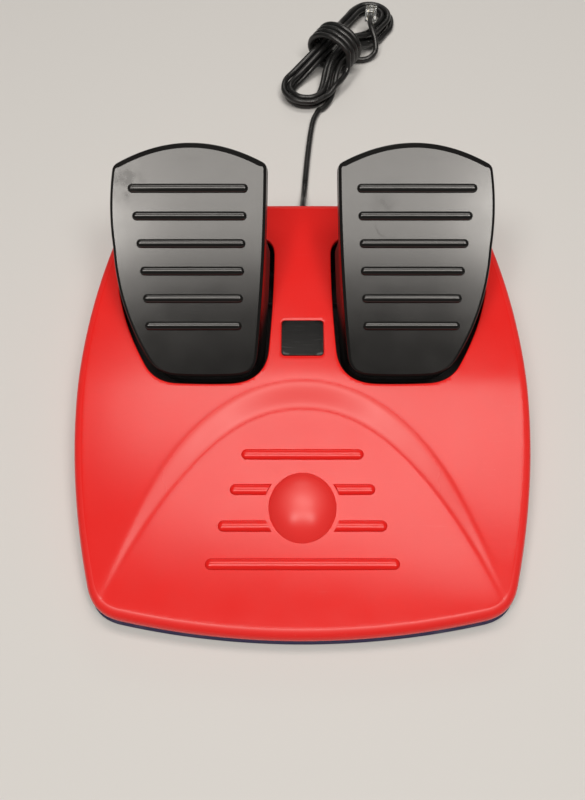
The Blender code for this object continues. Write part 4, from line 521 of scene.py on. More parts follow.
def moulded_red(look):
    """Satin moulded plastic with fine grained relief, faint scuffs and rubbed edges; paler on the ramp and the dome's
    crown, a grainy matt finish that is partly a painted sheen.
    """
    finish = Finish("moulded_red", look.colour, look.gloss, Specular_IOR_Level=0.4)
    red = tuple(look.colour)
    deep = tuple(0.975 * c for c in red)
    pale = (min(1.0, 1.05 * red[0]), red[1] + 0.12, red[2] + 0.11)
    cloudy = finish.blend(finish.spread(finish.noise(22, 3), 0.35, 0.65, 0, 1), deep, red)
    streaks = finish.noise(1, 4, finish.moved(turn=(0, 0, 0.6), scale=(70, 900, 70)))
    patches = finish.spread(finish.noise(14, 2), 0.52, 0.66, 0, 1)
    scuffs = finish.maths("MULTIPLY", finish.spread(streaks, 0.62, 0.74, 0, 0.07), patches)
    chips = finish.spread(finish.noise(700, 3), 0.64, 0.72, 0, 0.2)
    wear = finish.attribute("wear")
    worn = finish.maths("MULTIPLY", wear, chips)
    specks = finish.spread(finish.noise(1300, 1), 0.80, 0.84, 0, 0.25)
    marks = finish.maths("MAXIMUM", finish.maths("MAXIMUM", scuffs, worn), specks)
    grain_and_sheen = finish.attribute("grain_and_sheen")
    # Paler, rougher tint on the ramp and the dome's crown: a grainy matt finish, and partly a painted highlight.
    matt_and_sheen = tuple(c + gain for c, gain in zip(red, (0.11, 0.11, 0.105)))
    skin = finish.blend(finish.maths("MULTIPLY", finish.maths("MULTIPLY", grain_and_sheen, grain_and_sheen), 0.8), cloudy, matt_and_sheen)
    finish.drive("Base Color", finish.blend(marks, skin, pale))
    satin = finish.spread(finish.noise(60, 2), *NOISE_MIDDLE, look.gloss - 0.015, look.gloss + 0.015)
    rough = finish.maths("ADD", finish.maths("MULTIPLY", grain_and_sheen, 0.18), finish.maths("MULTIPLY", wear, 0.38))
    dull = finish.maths("ADD", finish.maths("MULTIPLY", marks, 0.3), rough)
    finish.drive("Roughness", finish.maths("ADD", satin, dull))
    finish.grained(1700, 2, 0.012, 0.6)
    return finish.material


def moulded_navy(look):
    """Satin navy plastic with patches of dust."""
    finish = Finish("moulded_navy", look.tray_colour, 0.48)
    finish.patchy((90, 4, 0.52, 0.75, 0.16), tuple(look.tray_colour), (0.16, 0.16, 0.2))
    finish.uneven(140, 3, 0.42, 0.58)
    finish.grained(1500, 2, 0.02, 0.6)
    return finish.material


def on_face(x, s):
    """Place on a pedal's face, given across and along it."""
    return PEDAL_HEEL + ALONG_PEDAL * s + Vector((x, 0, 0))


def smudge(finish, side):
    """Grime on a pedal: a smear at the outer toe corner of the left, a blot and a ring on the right."""
    if side < 0:
        return finish.ball(on_face(-103 * MM, 114 * MM), 20 * MM)
    blot = finish.ball(on_face(49 * MM, 101 * MM), 11 * MM)
    reach = finish.far(on_face(52 * MM, 89 * MM))
    ring = finish.maths("MINIMUM", finish.spread(reach, 7.4 * MM, 8.6 * MM, 0, 1),
                        finish.spread(reach, 8.6 * MM, 9.6 * MM, 1, 0))
    arc = finish.maths("MULTIPLY", ring, finish.ball(on_face(48 * MM, 84 * MM), 11 * MM))
    return finish.maths("MAXIMUM", blot, arc)


def pedal_black(look, side, word):
    """Satin black plastic, rubbed where a shoe lands."""
    finish = Finish(f"pedal_black_{word}", look.colour, look.gloss, Specular_IOR_Level=0.56)
    black = tuple(look.colour)
    smears = finish.noise(1, 4, finish.moved(turn=(0, 0, -0.5 * side), scale=(45, 260, 160)))
    landing = finish.ball((side * 75 * MM, 108 * MM, 92 * MM), 55 * MM)
    rubbed = finish.maths("MULTIPLY", finish.spread(smears, 0.5, 0.8, 0, 1), landing)
    grubby = finish.maths("MULTIPLY", finish.spread(finish.noise(150, 4), 0.28, 0.74, 0, 1), smudge(finish, side))
    marks = finish.maths("MAXIMUM", finish.maths("MULTIPLY", rubbed, 0.2), grubby)
    dust = finish.spread(finish.noise(1100, 1), 0.79, 0.83, 0, 0.3)
    dirty = finish.blend(finish.maths("MULTIPLY", marks, 0.4), black, (0.03, 0.026, 0.024))
    finish.drive("Base Color", finish.blend(dust, dirty, (0.16, 0.15, 0.14)))
    satin = finish.spread(finish.noise(55, 4), *NOISE_MIDDLE, look.gloss - 0.012, look.gloss + 0.015)
    dull = finish.maths("ADD", finish.maths("MULTIPLY", marks, 0.2),
                        finish.maths("MULTIPLY", finish.attribute("skirt"), 0.34))
    finish.drive("Roughness", finish.maths("ADD", satin, dull))
    finish.grained(1900, 2, 0.006, 0.6)
    return finish.material


def well_black():
    """Plain black plastic, dusty inside."""
    black = (0.011, 0.011, 0.012)
    finish = Finish("well_black", black, 0.5)
    finish.patchy((160, 4, 0.45, 0.8, 0.22), black, (0.09, 0.085, 0.08))
    finish.uneven(120, 3, 0.44, 0.64)
    finish.grained(1300, 2, 0.03, 0.6)
    return finish.material


def badge_black():
    """Glossy black plate with hairline scratches."""
    black = (0.008, 0.008, 0.008)
    finish = Finish("badge_black", black, 0.22, Specular_IOR_Level=0.3)
    hairs = finish.noise(1, 3, finish.moved(turn=(0, 0, 0.8), scale=(60, 2200, 60)))
    scratches = finish.spread(hairs, 0.62, 0.72, 0, 1)
    finish.drive("Base Color", finish.blend(finish.maths("MULTIPLY", scratches, 0.1), black, (0.09, 0.09, 0.09)))
    finish.drive("Roughness", finish.spread(scratches, 0, 1, 0.2, 0.28))
    finish.grained(1200, 2, 0.01, 0.5)
    return finish.material


def soft_rubber():
    """Dull black rubber with a mottled bloom."""
    black = (0.016, 0.016, 0.016)
    finish = Finish("soft_rubber", black, 0.7)
    finish.patchy((240, 4, 0.4, 0.75, 0.35), black, (0.055, 0.053, 0.05))
    finish.uneven(180, 3, 0.6, 0.8)
    finish.grained(1600, 3, 0.05, 0.6)
    return finish.material


def cord_vinyl(look):
    """Smooth vinyl jacket, a little uneven and handled."""
    finish = Finish("cord_vinyl", look.colour, look.gloss, Specular_IOR_Level=0.5)
    finish.patchy((70, 4, 0.48, 0.75, 0.3), tuple(look.colour), (0.05, 0.048, 0.046))
    finish.uneven(110, 4, look.gloss - 0.07, look.gloss + 0.12)
    finish.grained(420, 3, 0.08, 0.35)
    return finish.material


def bright_steel():
    """Plated steel with drawing marks and a few dull spots."""
    steel = (0.62, 0.61, 0.59)
    finish = Finish("bright_steel", steel, 0.28, Metallic=1.0)
    drawn = finish.noise(1, 3, finish.moved(scale=(2600, 160, 160)))
    finish.patchy((220, 4, 0.5, 0.78, 0.5), steel, (0.34, 0.32, 0.3))
    finish.drive("Roughness", finish.spread(drawn, *NOISE_MIDDLE, 0.2, 0.42))
    finish.drive("Normal", finish.bump(drawn, 0.01 * MM, 0.5))
    return finish.material


def white_nylon():
    """Milky nylon with faint flow marks."""
    finish = Finish("white_nylon", (0.78, 0.77, 0.72), 0.42, Subsurface_Weight=0.1)
    flow = finish.spread(finish.noise(300, 3, distortion=1.5), *NOISE_MIDDLE, 0, 1)
    finish.drive("Base Color", finish.blend(flow, (0.8, 0.79, 0.75), (0.7, 0.68, 0.62)))
    finish.uneven(500, 2, 0.36, 0.5)
    finish.grained(900, 2, 0.02, 0.5)
    return finish.material


def clear_plug():
    """Clear plastic with a handled, slightly hazy skin."""
    finish = Finish("clear_plug", (0.93, 0.95, 0.95), 0.12, IOR=1.58, Transmission_Weight=0.9)
    haze = finish.spread(finish.noise(500, 4), 0.4, 0.75, 0, 1)
    finish.drive("Roughness", finish.spread(haze, 0, 1, 0.08, 0.3))
    finish.drive("Base Color", finish.blend(haze, (0.95, 0.97, 0.97), (0.86, 0.87, 0.85)))
    finish.grained(900, 2, 0.02, 0.4)
    return finish.material


def contact_gold():
    """Gold-flashed contact strip."""
    gold = (0.83, 0.6, 0.2)
    finish = Finish("contact_gold", gold, 0.25, Metallic=1.0)
    finish.patchy((1500, 3, 0.45, 0.7, 0.6), gold, (0.7, 0.62, 0.45))
    finish.uneven(900, 2, 0.18, 0.38)
    return finish.material


def floor_paint(look):
    """Plain pale floor."""
    return Finish("floor_paint", look.floor, 0.7, Specular_IOR_Level=0.2).material


# Outlines and paths
def bowed_outline(corners, closed=True, side_steps=48, corner_steps=14):
    """Chain of shallow arcs.  A corner is (x, y, set-back of its rounding, bow of the next side)."""
    count = len(corners)

    def on_side(index, t):
        x0, y0, _, bow = corners[index]
        x1, y1 = corners[(index + 1) % count][:2]
        length = math.hypot(x1 - x0, y1 - y0)
        rise = 4 * bow * t * (1 - t) / length
        return Vector((x0 + (x1 - x0) * t + (y1 - y0) * rise, y0 + (y1 - y0) * t - (x1 - x0) * rise))

    points = []
    for index in range(count if closed else count - 1):
        x0, y0, setback, _ = corners[index]
        x1, y1, next_setback = corners[(index + 1) % count][:3]
        length = math.hypot(x1 - x0, y1 - y0)
        first = setback / length
        last = 1 - next_setback / length
        if setback > 0 and (closed or index > 0):
            before = corners[index - 1]
            start = on_side((index - 1) % count, 1 - setback / math.hypot(x0 - before[0], y0 - before[1]))
            end = on_side(index, first)
            corner = Vector((x0, y0))
            for k in range(1, corner_steps):
                t = k / corner_steps
                points.append(start * (1 - t) ** 2 + corner * 2 * t * (1 - t) + end * t ** 2)
        points += [on_side(index, first + (last - first) * k / side_steps) for k in range(side_steps)]
        if next_setback > 0:
            points.append(on_side(index, last))
    if not closed:
        points.append(Vector(corners[-1][:2]))
    return points


def in_metres(rows):
    return [tuple(value * MM for value in row) for row in rows]


def outline_normals(points):
    """Outward normals of a closed counter-clockwise outline."""
    normals = []
    for i in range(len(points)):
        along = points[(i + 1) % len(points)] - points[i - 1]
        normals.append(Vector((along.y, -along.x)).normalized())
    return normals


def offset_outline(points, distance):
    return [point + normal * distance for point, normal in zip(points, outline_normals(points))]


def even_outline(points, spacing):
    """The same closed outline with points at an even spacing."""
    closed = [Vector((p.x, p.y, 0)) for p in points]
    closed.append(closed[0].copy())
    return [Vector((p.x, p.y)) for p in even_path(closed, spacing)[:-1]]


def mirrored(points):
    """The outline on the other side, still counter-clockwise."""
    return [Vector((-p.x, p.y)) for p in reversed(points)]


def base_outline():
    """Footprint, counter-clockwise from the middle of the front edge."""
    half_front = BASE_FRONT_WIDTH / 2
    half_back = BASE_BACK_WIDTH / 2
    corners = [
        (0, FRONT_Y, 0, BASE_FRONT_BOW / 4),
        (half_front, FRONT_Y + BASE_FRONT_BOW, BASE_CORNER, BASE_WIDTH / 2 - (half_front + half_back) / 2),
        (half_back, BACK_Y - BASE_BACK_BOW, BASE_CORNER, BASE_BACK_BOW / 4),
        (0, BACK_Y, 0, 0),
    ]
    right = bowed_outline(corners, closed=False, side_steps=60)
    return right + [Vector((-p.x, p.y)) for p in reversed(right[1:-1])]


def opening_outline(side):
    outline = bowed_outline(in_metres(OPENING_CORNERS))
    return outline if side > 0 else mirrored(outline)


def badge_outline(grow):
    x = BADGE_WIDTH / 2 + grow
    y = BADGE_LENGTH / 2 + grow
    corners = [(px, py, BADGE_CORNER, 0) for px, py in ((-x, -y), (x, -y), (x, y), (-x, y))]
    return bowed_outline(corners, side_steps=12, corner_steps=8)


def smooth_path(points, per_span):
    """Points on a smooth curve through the given ones."""
    points = [Vector(p) for p in points]
    padded = [points[0] * 2 - points[1], *points, points[-1] * 2 - points[-2]]
    path = []
    for a, b, c, d in zip(padded, padded[1:], padded[2:], padded[3:]):
        for k in range(per_span):
            t = k / per_span
            cubic = (b * 3 - a - c * 3 + d) * t ** 3 + (a * 2 - b * 5 + c * 4 - d) * t ** 2
            path.append(b + (cubic + (c - a) * t) / 2)
    path.append(points[-1])
    return path


def even_path(path, spacing):
    """The same path with points at an even spacing."""
    total = sum((b - a).length for a, b in zip(path, path[1:]))
    count = max(2, round(total / spacing))
    wanted = [total * k / count for k in range(count + 1)]
    result = [path[0].copy()]
    walked = 0.0
    target = 1
    for a, b in zip(path, path[1:]):
        step = (b - a).length
        while target < count and walked + step >= wanted[target]:
            result.append(a.lerp(b, (wanted[target] - walked) / step))
            target += 1
        walked += step
    result.append(path[-1].copy())
    return result


def round_places(steps):
    """Cosines and sines of even steps round a circle."""
    angles = [2 * math.pi * k / steps for k in range(steps)]
    return [(math.cos(a), math.sin(a)) for a in angles]


def ease(value):
    """Smooth step from 0 to 1."""
    value = min(1.0, max(0.0, value))
    return value * value * (3 - 2 * value)


# Heights of the moulded skin
def cover_height(y):
    """Skin without the scoop: a front slope and a back slope with a rounded crest between."""
    front_slope = (COVER_CREST_HEIGHT - COVER_FRONT_HEIGHT) / (COVER_CREST_Y - FRONT_Y)
    back_slope = (COVER_BACK_HEIGHT - COVER_CREST_HEIGHT) / (BACK_Y - COVER_CREST_Y)
    along = y - COVER_CREST_Y
    rounding = math.sqrt(along ** 2 + (COVER_CREST_BLEND / 2) ** 2)
    return COVER_CREST_HEIGHT + ((front_slope + back_slope) * along + (back_slope - front_slope) * rounding) / 2


PLATE_SLOPE = (SCOOP_FLOOR_HEIGHT - cover_height(SCOOP_TIP_Y)) / (SCOOP_FLOOR_Y - SCOOP_TIP_Y)
BACK_SLOPE = (cover_height(BADGE_Y + BADGE_LENGTH) - cover_height(BADGE_Y)) / BADGE_LENGTH


def plate_height(y):
    return SCOOP_FLOOR_HEIGHT + PLATE_SLOPE * (y - SCOOP_FLOOR_Y)


def rounded_max(a, b, rounding):
    return (a + b + math.sqrt((a - b) ** 2 + rounding ** 2)) / 2


def rounded_min(a, b, rounding):
    return (a + b - math.sqrt((a - b) ** 2 + rounding ** 2)) / 2


def skin_height(x, y):
    """Cover with the heel scoop: the plate, the ramp round it and the skin beyond, with rounded edges."""
    reach = abs(x) / SCOOP_HALF_WIDTH
    skin = cover_height(y)
    if reach > 1:
        return skin
    floor_edge = SCOOP_FLOOR_Y - (SCOOP_FLOOR_Y - SCOOP_TIP_Y) * reach ** SCOOP_FLOOR_POWER
    crest_edge = SCOOP_TIP_Y + (SCOOP_CREST_Y - SCOOP_TIP_Y) * (1 - reach ** 2) ** SCOOP_CREST_POWER
    rise = cover_height(crest_edge) - plate_height(floor_edge)
    slope = rounded_max(rise / max(crest_edge - floor_edge, 1 * MM), SCOOP_LEAST_SLOPE, SCOOP_SLOPE_BLEND)
    ramp = plate_height(floor_edge) + slope * (y - floor_edge)
    fade = ease(rise / (2 * MM))
    floor = rounded_max(plate_height(y), ramp, SCOOP_FLOOR_BLEND * slope * fade)
    return rounded_min(skin, floor, SCOOP_CREST_BLEND * slope * fade / 2)


def ramp_grain_and_sheen(x, y):
    """Share of the paler, rougher grainy finish on the ramp round the heel plate, partly a painted sheen; less towards
    its tips and none beside it.
    """
    slope = (skin_height(x, y + RAMP_PROBE) - skin_height(x, y - RAMP_PROBE)) / (2 * RAMP_PROBE)
    towards_tip = ease((abs(x) - RAMP_FADE[0]) / (RAMP_FADE[1] - RAMP_FADE[0]))
    return RAMP_GRAIN_AND_SHEEN * ease((slope - RAMP_SLOPES[0]) / (RAMP_SLOPES[1] - RAMP_SLOPES[0])) * (1 - towards_tip)


# Mesh making
BODY_OF = {node: body for body, nodes in frame["record"]["behaviour"]["bodies"].items() for node in nodes}


def settle(piece, surface, stands_for, body=None):
    """Gives a piece its finish, the body it rides on and the solids it stands for."""
    piece.data.materials.append(surface)
    if piece.name not in bpy.context.scene.collection.objects:
        bpy.context.scene.collection.objects.link(piece)
    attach(piece, body or BODY_OF[stands_for[0]])
    if stands_for:
        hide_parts(*stands_for)
    return piece


def finished(name, bm, surface, stands_for, body=None, sharp=35):
    """Object of a bmesh, smooth but for its sharp edges."""
    mesh = bpy.data.meshes.new(name)
    bm.to_mesh(mesh)
    bm.free()
    mesh.shade_smooth()
    mesh.set_sharp_from_angle(angle=math.radians(sharp))
    return settle(bpy.data.objects.new(name, mesh), surface, stands_for, body)


def new_verts(made):
    return [item for item in made["geom"] if isinstance(item, bmesh.types.BMVert)]


def edges_among(verts):
    chosen = set(verts)
    return list({edge for vert in verts for edge in vert.link_edges if set(edge.verts) <= chosen})


class Loft:
    """Closed rings, each extruded from the last and laid on its own places."""

    def __init__(self, bm, places):
        self.bm = bm
        self.order = bm.verts.layers.int.get("order") or bm.verts.layers.int.new("order")
        verts = bmesh.ops.create_circle(bm, segments=len(places), radius=1)["verts"]
        for index, vert in enumerate(verts):
            vert[self.order] = index
            vert.co = places[index]
        self.verts = verts
        self.edges = edges_among(verts)
        self.all_verts = list(verts)

    def grow(self, places):
        self.verts = new_verts(bmesh.ops.extrude_edge_only(self.bm, edges=self.edges))
        for vert in self.verts:
            vert.co = places[vert[self.order]]
        self.edges = edges_among(self.verts)
        self.all_verts += self.verts
        return self

    def cap(self):
        bmesh.ops.edgeloop_fill(self.bm, edges=self.edges)
        return self


def lofted(bm, rings):
    """Closed solid through a row of rings."""
    loft = Loft(bm, rings[0]).cap()
    for ring in rings[1:]:
        loft.grow(ring)
    loft.cap()
    return loft.all_verts


def rounded(bm, edges, width, segments=2):
    bmesh.ops.bevel(bm, geom=edges, offset=width, offset_type="OFFSET", affect="EDGES", segments=segments,
                    profile=0.5, material=-1, clamp_overlap=True)


def spun(bm, profile, placing, steps=48):
    """Solid turned about local Z from a profile of (radius, height) whose ends lie on the axis."""
    verts = [bm.verts.new((radius, 0, height)) for radius, height in profile]
    edges = [bm.edges.new(pair) for pair in zip(verts, verts[1:])]
    made = bmesh.ops.spin(bm, geom=verts + edges, cent=(0, 0, 0), axis=(0, 0, 1), angle=2 * math.pi, steps=steps,
                          use_merge=True)
    solid = list({vert for edge in edges for face in edge.link_faces for vert in face.verts}
                 | set(new_verts({"geom": made["geom_last"]})))
    reached = set(solid)
    while solid:
        solid = [other for vert in solid for edge in vert.link_edges for other in edge.verts if other not in reached]
        reached.update(solid)
    turned = list(reached)
    bmesh.ops.remove_doubles(bm, verts=turned, dist=FINE_MERGE)
    turned = [vert for vert in turned if vert.is_valid]
    bmesh.ops.transform(bm, matrix=placing, verts=turned)
    return turned


def capsule(bm, half_length, radius, height, placing, steps=24):
    """Half-round bar along local X with round ends, its root sunk under the surface."""
    made = bmesh.ops.create_uvsphere(bm, u_segments=steps, v_segments=steps // 2, radius=1,
                                     matrix=Matrix.Rotation(math.pi / 2, 4, "Y"))
    reach = half_length - radius
    for vert in made["verts"]:
        side = 1 if vert.co.x > 1e-6 else -1 if vert.co.x < -1e-6 else 0
        up = height if vert.co.z > 0 else RIB_ROOT
        vert.co = (vert.co.x * radius + side * reach, vert.co.y * radius, vert.co.z * up)
    verts = made["verts"]
    for end in (-reach, reach):
        edges = {edge for vert in verts for edge in vert.link_edges}
        faces = {face for vert in verts for face in vert.link_faces}
        cut = bmesh.ops.bisect_plane(bm, geom=[*verts, *edges, *faces], plane_co=(end, 0, 0), plane_no=(1, 0, 0))
        verts = [vert for vert in new_verts(cut) if vert.is_valid]
    bmesh.ops.transform(bm, matrix=placing, verts=verts)
    return verts


def upright(centre, x):
    """Places a flat outline in a plane of constant x, its first axis along +Y and its second along +Z."""
    return Matrix(((0, 0, 1, x), (1, 0, 0, centre.y), (0, 1, 0, centre.z), (0, 0, 0, 1)))


def flat_plate(bm, outline, thickness, placing):
    half = thickness / 2
    return lofted(bm, [[placing @ Vector((x, y, h)) for x, y in outline] for h in (-half, half)])


def tidy_shell(bm):
    for layers in (bm.verts.layers.int, bm.verts.layers.float_vector):
        for layer in list(layers.values()):
            layers.remove(layer)
    bmesh.ops.recalc_face_normals(bm, faces=bm.faces)


# Cover
def nearest_on(places, outline):
    """Signed distance from an outline, negative inside, with the nearest point and the outward normal there."""
    first = np.array([tuple(p) for p in outline])
    normals = np.array([tuple(n) for n in outline_normals(outline)])
    along = np.roll(first, -1, axis=0) - first
    length = (along ** 2).sum(axis=1)
    rows = []
    for chunk in np.array_split(places, max(1, len(places) // 2000)):
        away = chunk[:, None] - first[None]
        share = np.clip((away * along).sum(axis=2) / length, 0, 1)
        spots = first + share[..., None] * along
        gaps = np.linalg.norm(chunk[:, None] - spots, axis=2)
        best = gaps.argmin(axis=1)
        row = np.arange(len(chunk))
        t = share[row, best][:, None]
        normal = normals[best] * (1 - t) + np.roll(normals, -1, axis=0)[best] * t
        crossing = (first[:, 1] > chunk[:, None, 1]) != (np.roll(first, -1, axis=0)[:, 1] > chunk[:, None, 1])
        with np.errstate(divide="ignore", invalid="ignore"):
            at_x = first[:, 0] + (chunk[:, None, 1] - first[:, 1]) * along[:, 0] / along[:, 1]
        inside = (crossing & (chunk[:, None, 0] < at_x)).sum(axis=1) % 2 == 1
        signed = np.where(inside, -gaps[row, best], gaps[row, best])
        rows.append(np.column_stack((signed, spots[row, best], normal)))
    return np.concatenate(rows)


def cover_rims(look):
    """Outlines where the upper skin ends: the outer edge, the two openings and the badge's recess."""
    outer = offset_outline(base_outline(), -(COVER_DRAFT + COVER_EDGE_RADIUS))
    openings = [offset_outline(opening_outline(side), look.rim) for side, _ in SIDES]
    badge = [Vector((p.x, p.y + BADGE_Y)) for p in badge_outline(2 * FIT_GAP)]
    return [outer, *openings, badge]


def cover_sheet(bm, look, layers):
    """Upper skin as a fine sheet whose edges lie on the rims."""
    bmesh.ops.create_grid(bm, x_segments=round(BASE_WIDTH / look.cell), y_segments=round(BASE_LENGTH / look.cell),
                          size=0.5)
    bmesh.ops.scale(bm, vec=(BASE_WIDTH, BASE_LENGTH, 1), verts=bm.verts)
    rims = cover_rims(look)
    signs = [1, -1, -1, -1]
    middles = np.array([tuple(face.calc_center_median())[:2] for face in bm.faces])
    depth = np.max([sign * nearest_on(middles, rim)[:, 0] for sign, rim in zip(signs, rims)], axis=0)
    outside = [face for face, gap in zip(bm.faces, depth) if gap > 0]
    bmesh.ops.delete(bm, geom=outside, context="FACES")
    edge = [vert for vert in bm.verts if vert.is_boundary]
    found = np.array([nearest_on(np.array([tuple(vert.co)[:2] for vert in edge]), rim) for rim in rims])
    kinds = np.abs(found[:, :, 0]).argmin(axis=0)
    for index, (vert, kind) in enumerate(zip(edge, kinds)):
        _, x, y, normal_x, normal_y = found[kind, index]
        vert.co = (x, y, 0)
        vert[layers["kind"]] = int(kind) + 1
        vert[layers["outward"]] = Vector((normal_x, normal_y, 0)).normalized() * signs[kind]
    near = set(edge)
    for _ in range(RIM_NEIGHBOURS):
        near |= {other for vert in near for link in vert.link_edges for other in link.verts}
    near = [vert for vert in near if not vert.is_boundary]
    for _ in range(RIM_SMOOTHINGS):
        bmesh.ops.smooth_vert(bm, verts=near, factor=0.5, use_axis_x=True, use_axis_y=True)
    for vert in bm.verts:
        vert.co.z = skin_height(vert.co.x, vert.co.y)
        vert[layers["home"]] = vert.co
        # Paler, rougher grainy finish on the ramp, partly a painted sheen
        vert[layers["grain_and_sheen"]] = ramp_grain_and_sheen(vert.co.x, vert.co.y)
    split_cells(bm)


def split_cells(bm):
    """Cuts each cell along the diagonal that lies closer to the skin, so the scoop's edges run straight."""
    cells = {"FIXED": [], "ALTERNATE": []}
    for face in bm.faces:
        a, b, c, d = (vert.co for vert in face.verts)
        middle = (a + b + c + d) / 4
        height = skin_height(middle.x, middle.y)
        better = abs((b.z + d.z) / 2 - height) + LEAST_GAIN < abs((a.z + c.z) / 2 - height)
        cells["ALTERNATE" if better else "FIXED"].append(face)
    for method, faces in cells.items():
        bmesh.ops.triangulate(bm, faces=faces, quad_method=method)


def push_rim(bm, edges, layers, out, height, wear=0.0):
    """Extrudes a rim and lays it a distance out from its home, at a height given by its new place."""
    verts = new_verts(bmesh.ops.extrude_edge_only(bm, edges=edges))
    for vert in verts:
        home = vert[layers["home"]]
        place = home + vert[layers["outward"]] * out
        vert.co = (place.x, place.y, height(place, home))
        vert[layers["wear"]] = wear
    return edges_among(verts)


def push_rims(bm, edges, layers, steps):
    """Extrudes a rim step by step, each step a distance out and a drop from its home."""
    for out, drop in steps:
        edges = push_rim(bm, edges, layers, out, lambda place, home: home.z - drop)
    return edges


def cover_walls(bm, look, layers, edges_of):
    """Rounded outer edge and side wall, rounded openings, and the recess for the badge."""
    edges = edges_of[1]
    for k in range(1, look.edge_steps + 1):
        a = math.pi / 2 * k / look.edge_steps
        drop = COVER_EDGE_RADIUS * (1 - math.cos(a))
        worn = math.exp(-((a - EDGE_WEAR_ANGLE) / EDGE_WEAR_SPREAD) ** 2)
        edges = push_rim(bm, edges, layers, COVER_EDGE_RADIUS * math.sin(a),
                         lambda place, home: skin_height(place.x, place.y) - drop, worn)
    foot = COVER_EDGE_RADIUS + COVER_DRAFT - COVER_LEDGE
    inner = foot - COVER_WALL
    for out in (foot, inner):
        edges = push_rim(bm, edges, layers, out, lambda place, home: COVER_BOTTOM)
    push_rims(bm, edges, layers, ((inner, COVER_EDGE_RADIUS), (0, COVER_WALL)))
    angles = [math.pi / 2 * k / OPENING_EDGE_STEPS for k in range(1, OPENING_EDGE_STEPS + 1)]
    rounding = [(look.rim * math.sin(a), look.rim * (1 - math.cos(a))) for a in angles]
    for kind in (2, 3):
        push_rims(bm, edges_of[kind], layers, [*rounding, (look.rim, COVER_WALL), (0, COVER_WALL)])
    recess = ((FIT_GAP * 0.7, FIT_GAP * 0.3), (FIT_GAP, FIT_GAP), (FIT_GAP, BADGE_RECESS))
    bmesh.ops.edgeloop_fill(bm, edges=push_rims(bm, edges_of[4], layers, recess))


def heel_placing(y):
    """Places a shape on the heel plate, lying along its slope."""
    return Matrix.Translation((0, y, plate_height(y))) @ Matrix.Rotation(math.atan(PLATE_SLOPE), 4, "X")


def heel_dome(bm, layers):
    """Cap of an ellipsoid, sunk a little into the heel plate."""
    radius = ((DOME_WIDTH / 2) ** 2 + DOME_HEIGHT ** 2) / (2 * DOME_HEIGHT)
    stretch = Matrix.Diagonal((1, DOME_LENGTH / DOME_WIDTH, 1, 1))
    drop = Matrix.Translation((0, 0, DOME_HEIGHT - radius))
    sphere = bmesh.ops.create_uvsphere(bm, u_segments=DOME_SEGMENTS, v_segments=DOME_RINGS,
                                       radius=radius)["verts"]
    ball = sphere + list({e for v in sphere for e in v.link_edges}) + list({f for v in sphere for f in v.link_faces})
    floor = radius - DOME_HEIGHT - DOME_SUNK
    cut = bmesh.ops.bisect_plane(bm, geom=ball, plane_co=(0, 0, floor), plane_no=(0, 0, 1), clear_inner=True)
    kept = [vert for vert in new_verts(cut) if vert.is_valid]
    bmesh.ops.edgeloop_fill(bm, edges=[e for e in edges_among(kept) if e.is_boundary])
    bmesh.ops.transform(bm, matrix=heel_placing(DOME_Y) @ stretch @ drop, verts=kept)
    # Paler, rougher grainy finish, most at a point a little behind the crown and less towards the rim: partly a painted
    # highlight.
    sheen_centre = heel_placing(DOME_Y) @ Vector((0, DOME_SHEEN_CENTRE_BACK, DOME_HEIGHT))
    for vert in kept:
        away = (vert.co - sheen_centre).length / (DOME_WIDTH / 2)
        vert[layers["grain_and_sheen"]] = DOME_RIM_GRAIN_AND_SHEEN + (DOME_CROWN_GRAIN_AND_SHEEN - DOME_RIM_GRAIN_AND_SHEEN) * ease(1 - away)


def heel_ribs(bm):
    """Four bars across the heel plate; where a bar meets the ring round the dome it is cut along the ring."""
    ring_x = DOME_WIDTH / 2 + DOME_RING
    ring_y = DOME_LENGTH / 2 + DOME_RING
    for k in range(HEEL_RIB_COUNT):
        y = HEEL_RIB_FIRST_Y - HEEL_RIB_PITCH * k
        half = HEEL_RIB_FIRST_HALF + HEEL_RIB_GROWTH * k
        if abs(y - DOME_Y) > ring_y + HEEL_RIB_WIDTH / 2:
            capsule(bm, half, HEEL_RIB_WIDTH / 2, HEEL_RIB_HEIGHT, heel_placing(y), HEEL_RIB_STEPS)
            continue
        for side, _ in SIDES:
            verts = capsule(bm, half, HEEL_RIB_WIDTH / 2, HEEL_RIB_HEIGHT, heel_placing(y), HEEL_RIB_STEPS)
            for vert in verts:
                aside = (vert.co.y - DOME_Y) / ring_y
                wall = ring_x * math.sqrt(max(0.0, 1 - aside ** 2))
                if vert.co.x * side < wall:
                    vert.co.x = side * wall
            bmesh.ops.remove_doubles(bm, verts=verts, dist=MERGE)


def make_cover(look):
    bm = bmesh.new()
    layers = {
        "kind": bm.verts.layers.int.new("kind"),
        "outward": bm.verts.layers.float_vector.new("outward"),
        "home": bm.verts.layers.float_vector.new("home"),
        "wear": bm.verts.layers.float.new("wear"),
        "grain_and_sheen": bm.verts.layers.float.new("grain_and_sheen"),
    }
    cover_sheet(bm, look, layers)
    rim_edges = [edge for edge in bm.edges if edge.is_boundary]
    edges_of = {kind: [e for e in rim_edges if e.verts[0][layers["kind"]] == kind] for kind in (1, 2, 3, 4)}
    copy = bmesh.ops.duplicate(bm, geom=bm.faces[:])
    ceiling = new_verts(copy)
    bmesh.ops.translate(bm, vec=(0, 0, -COVER_WALL), verts=ceiling)
    bmesh.ops.reverse_faces(bm, faces=[f for f in copy["geom"] if isinstance(f, bmesh.types.BMFace)])
    cover_walls(bm, look, layers, edges_of)
    recess = [e for e in edges_among(ceiling) if e.is_boundary and e.verts[0][layers["kind"]] == 4]
    bmesh.ops.edgeloop_fill(bm, edges=recess)
    bmesh.ops.remove_doubles(bm, verts=bm.verts, dist=SHEET_MERGE)
    heel_dome(bm, layers)
    heel_ribs(bm)
    tidy_shell(bm)
    finished("moulded_cover", bm, moulded_red(look), ("top_cover",), sharp=40)


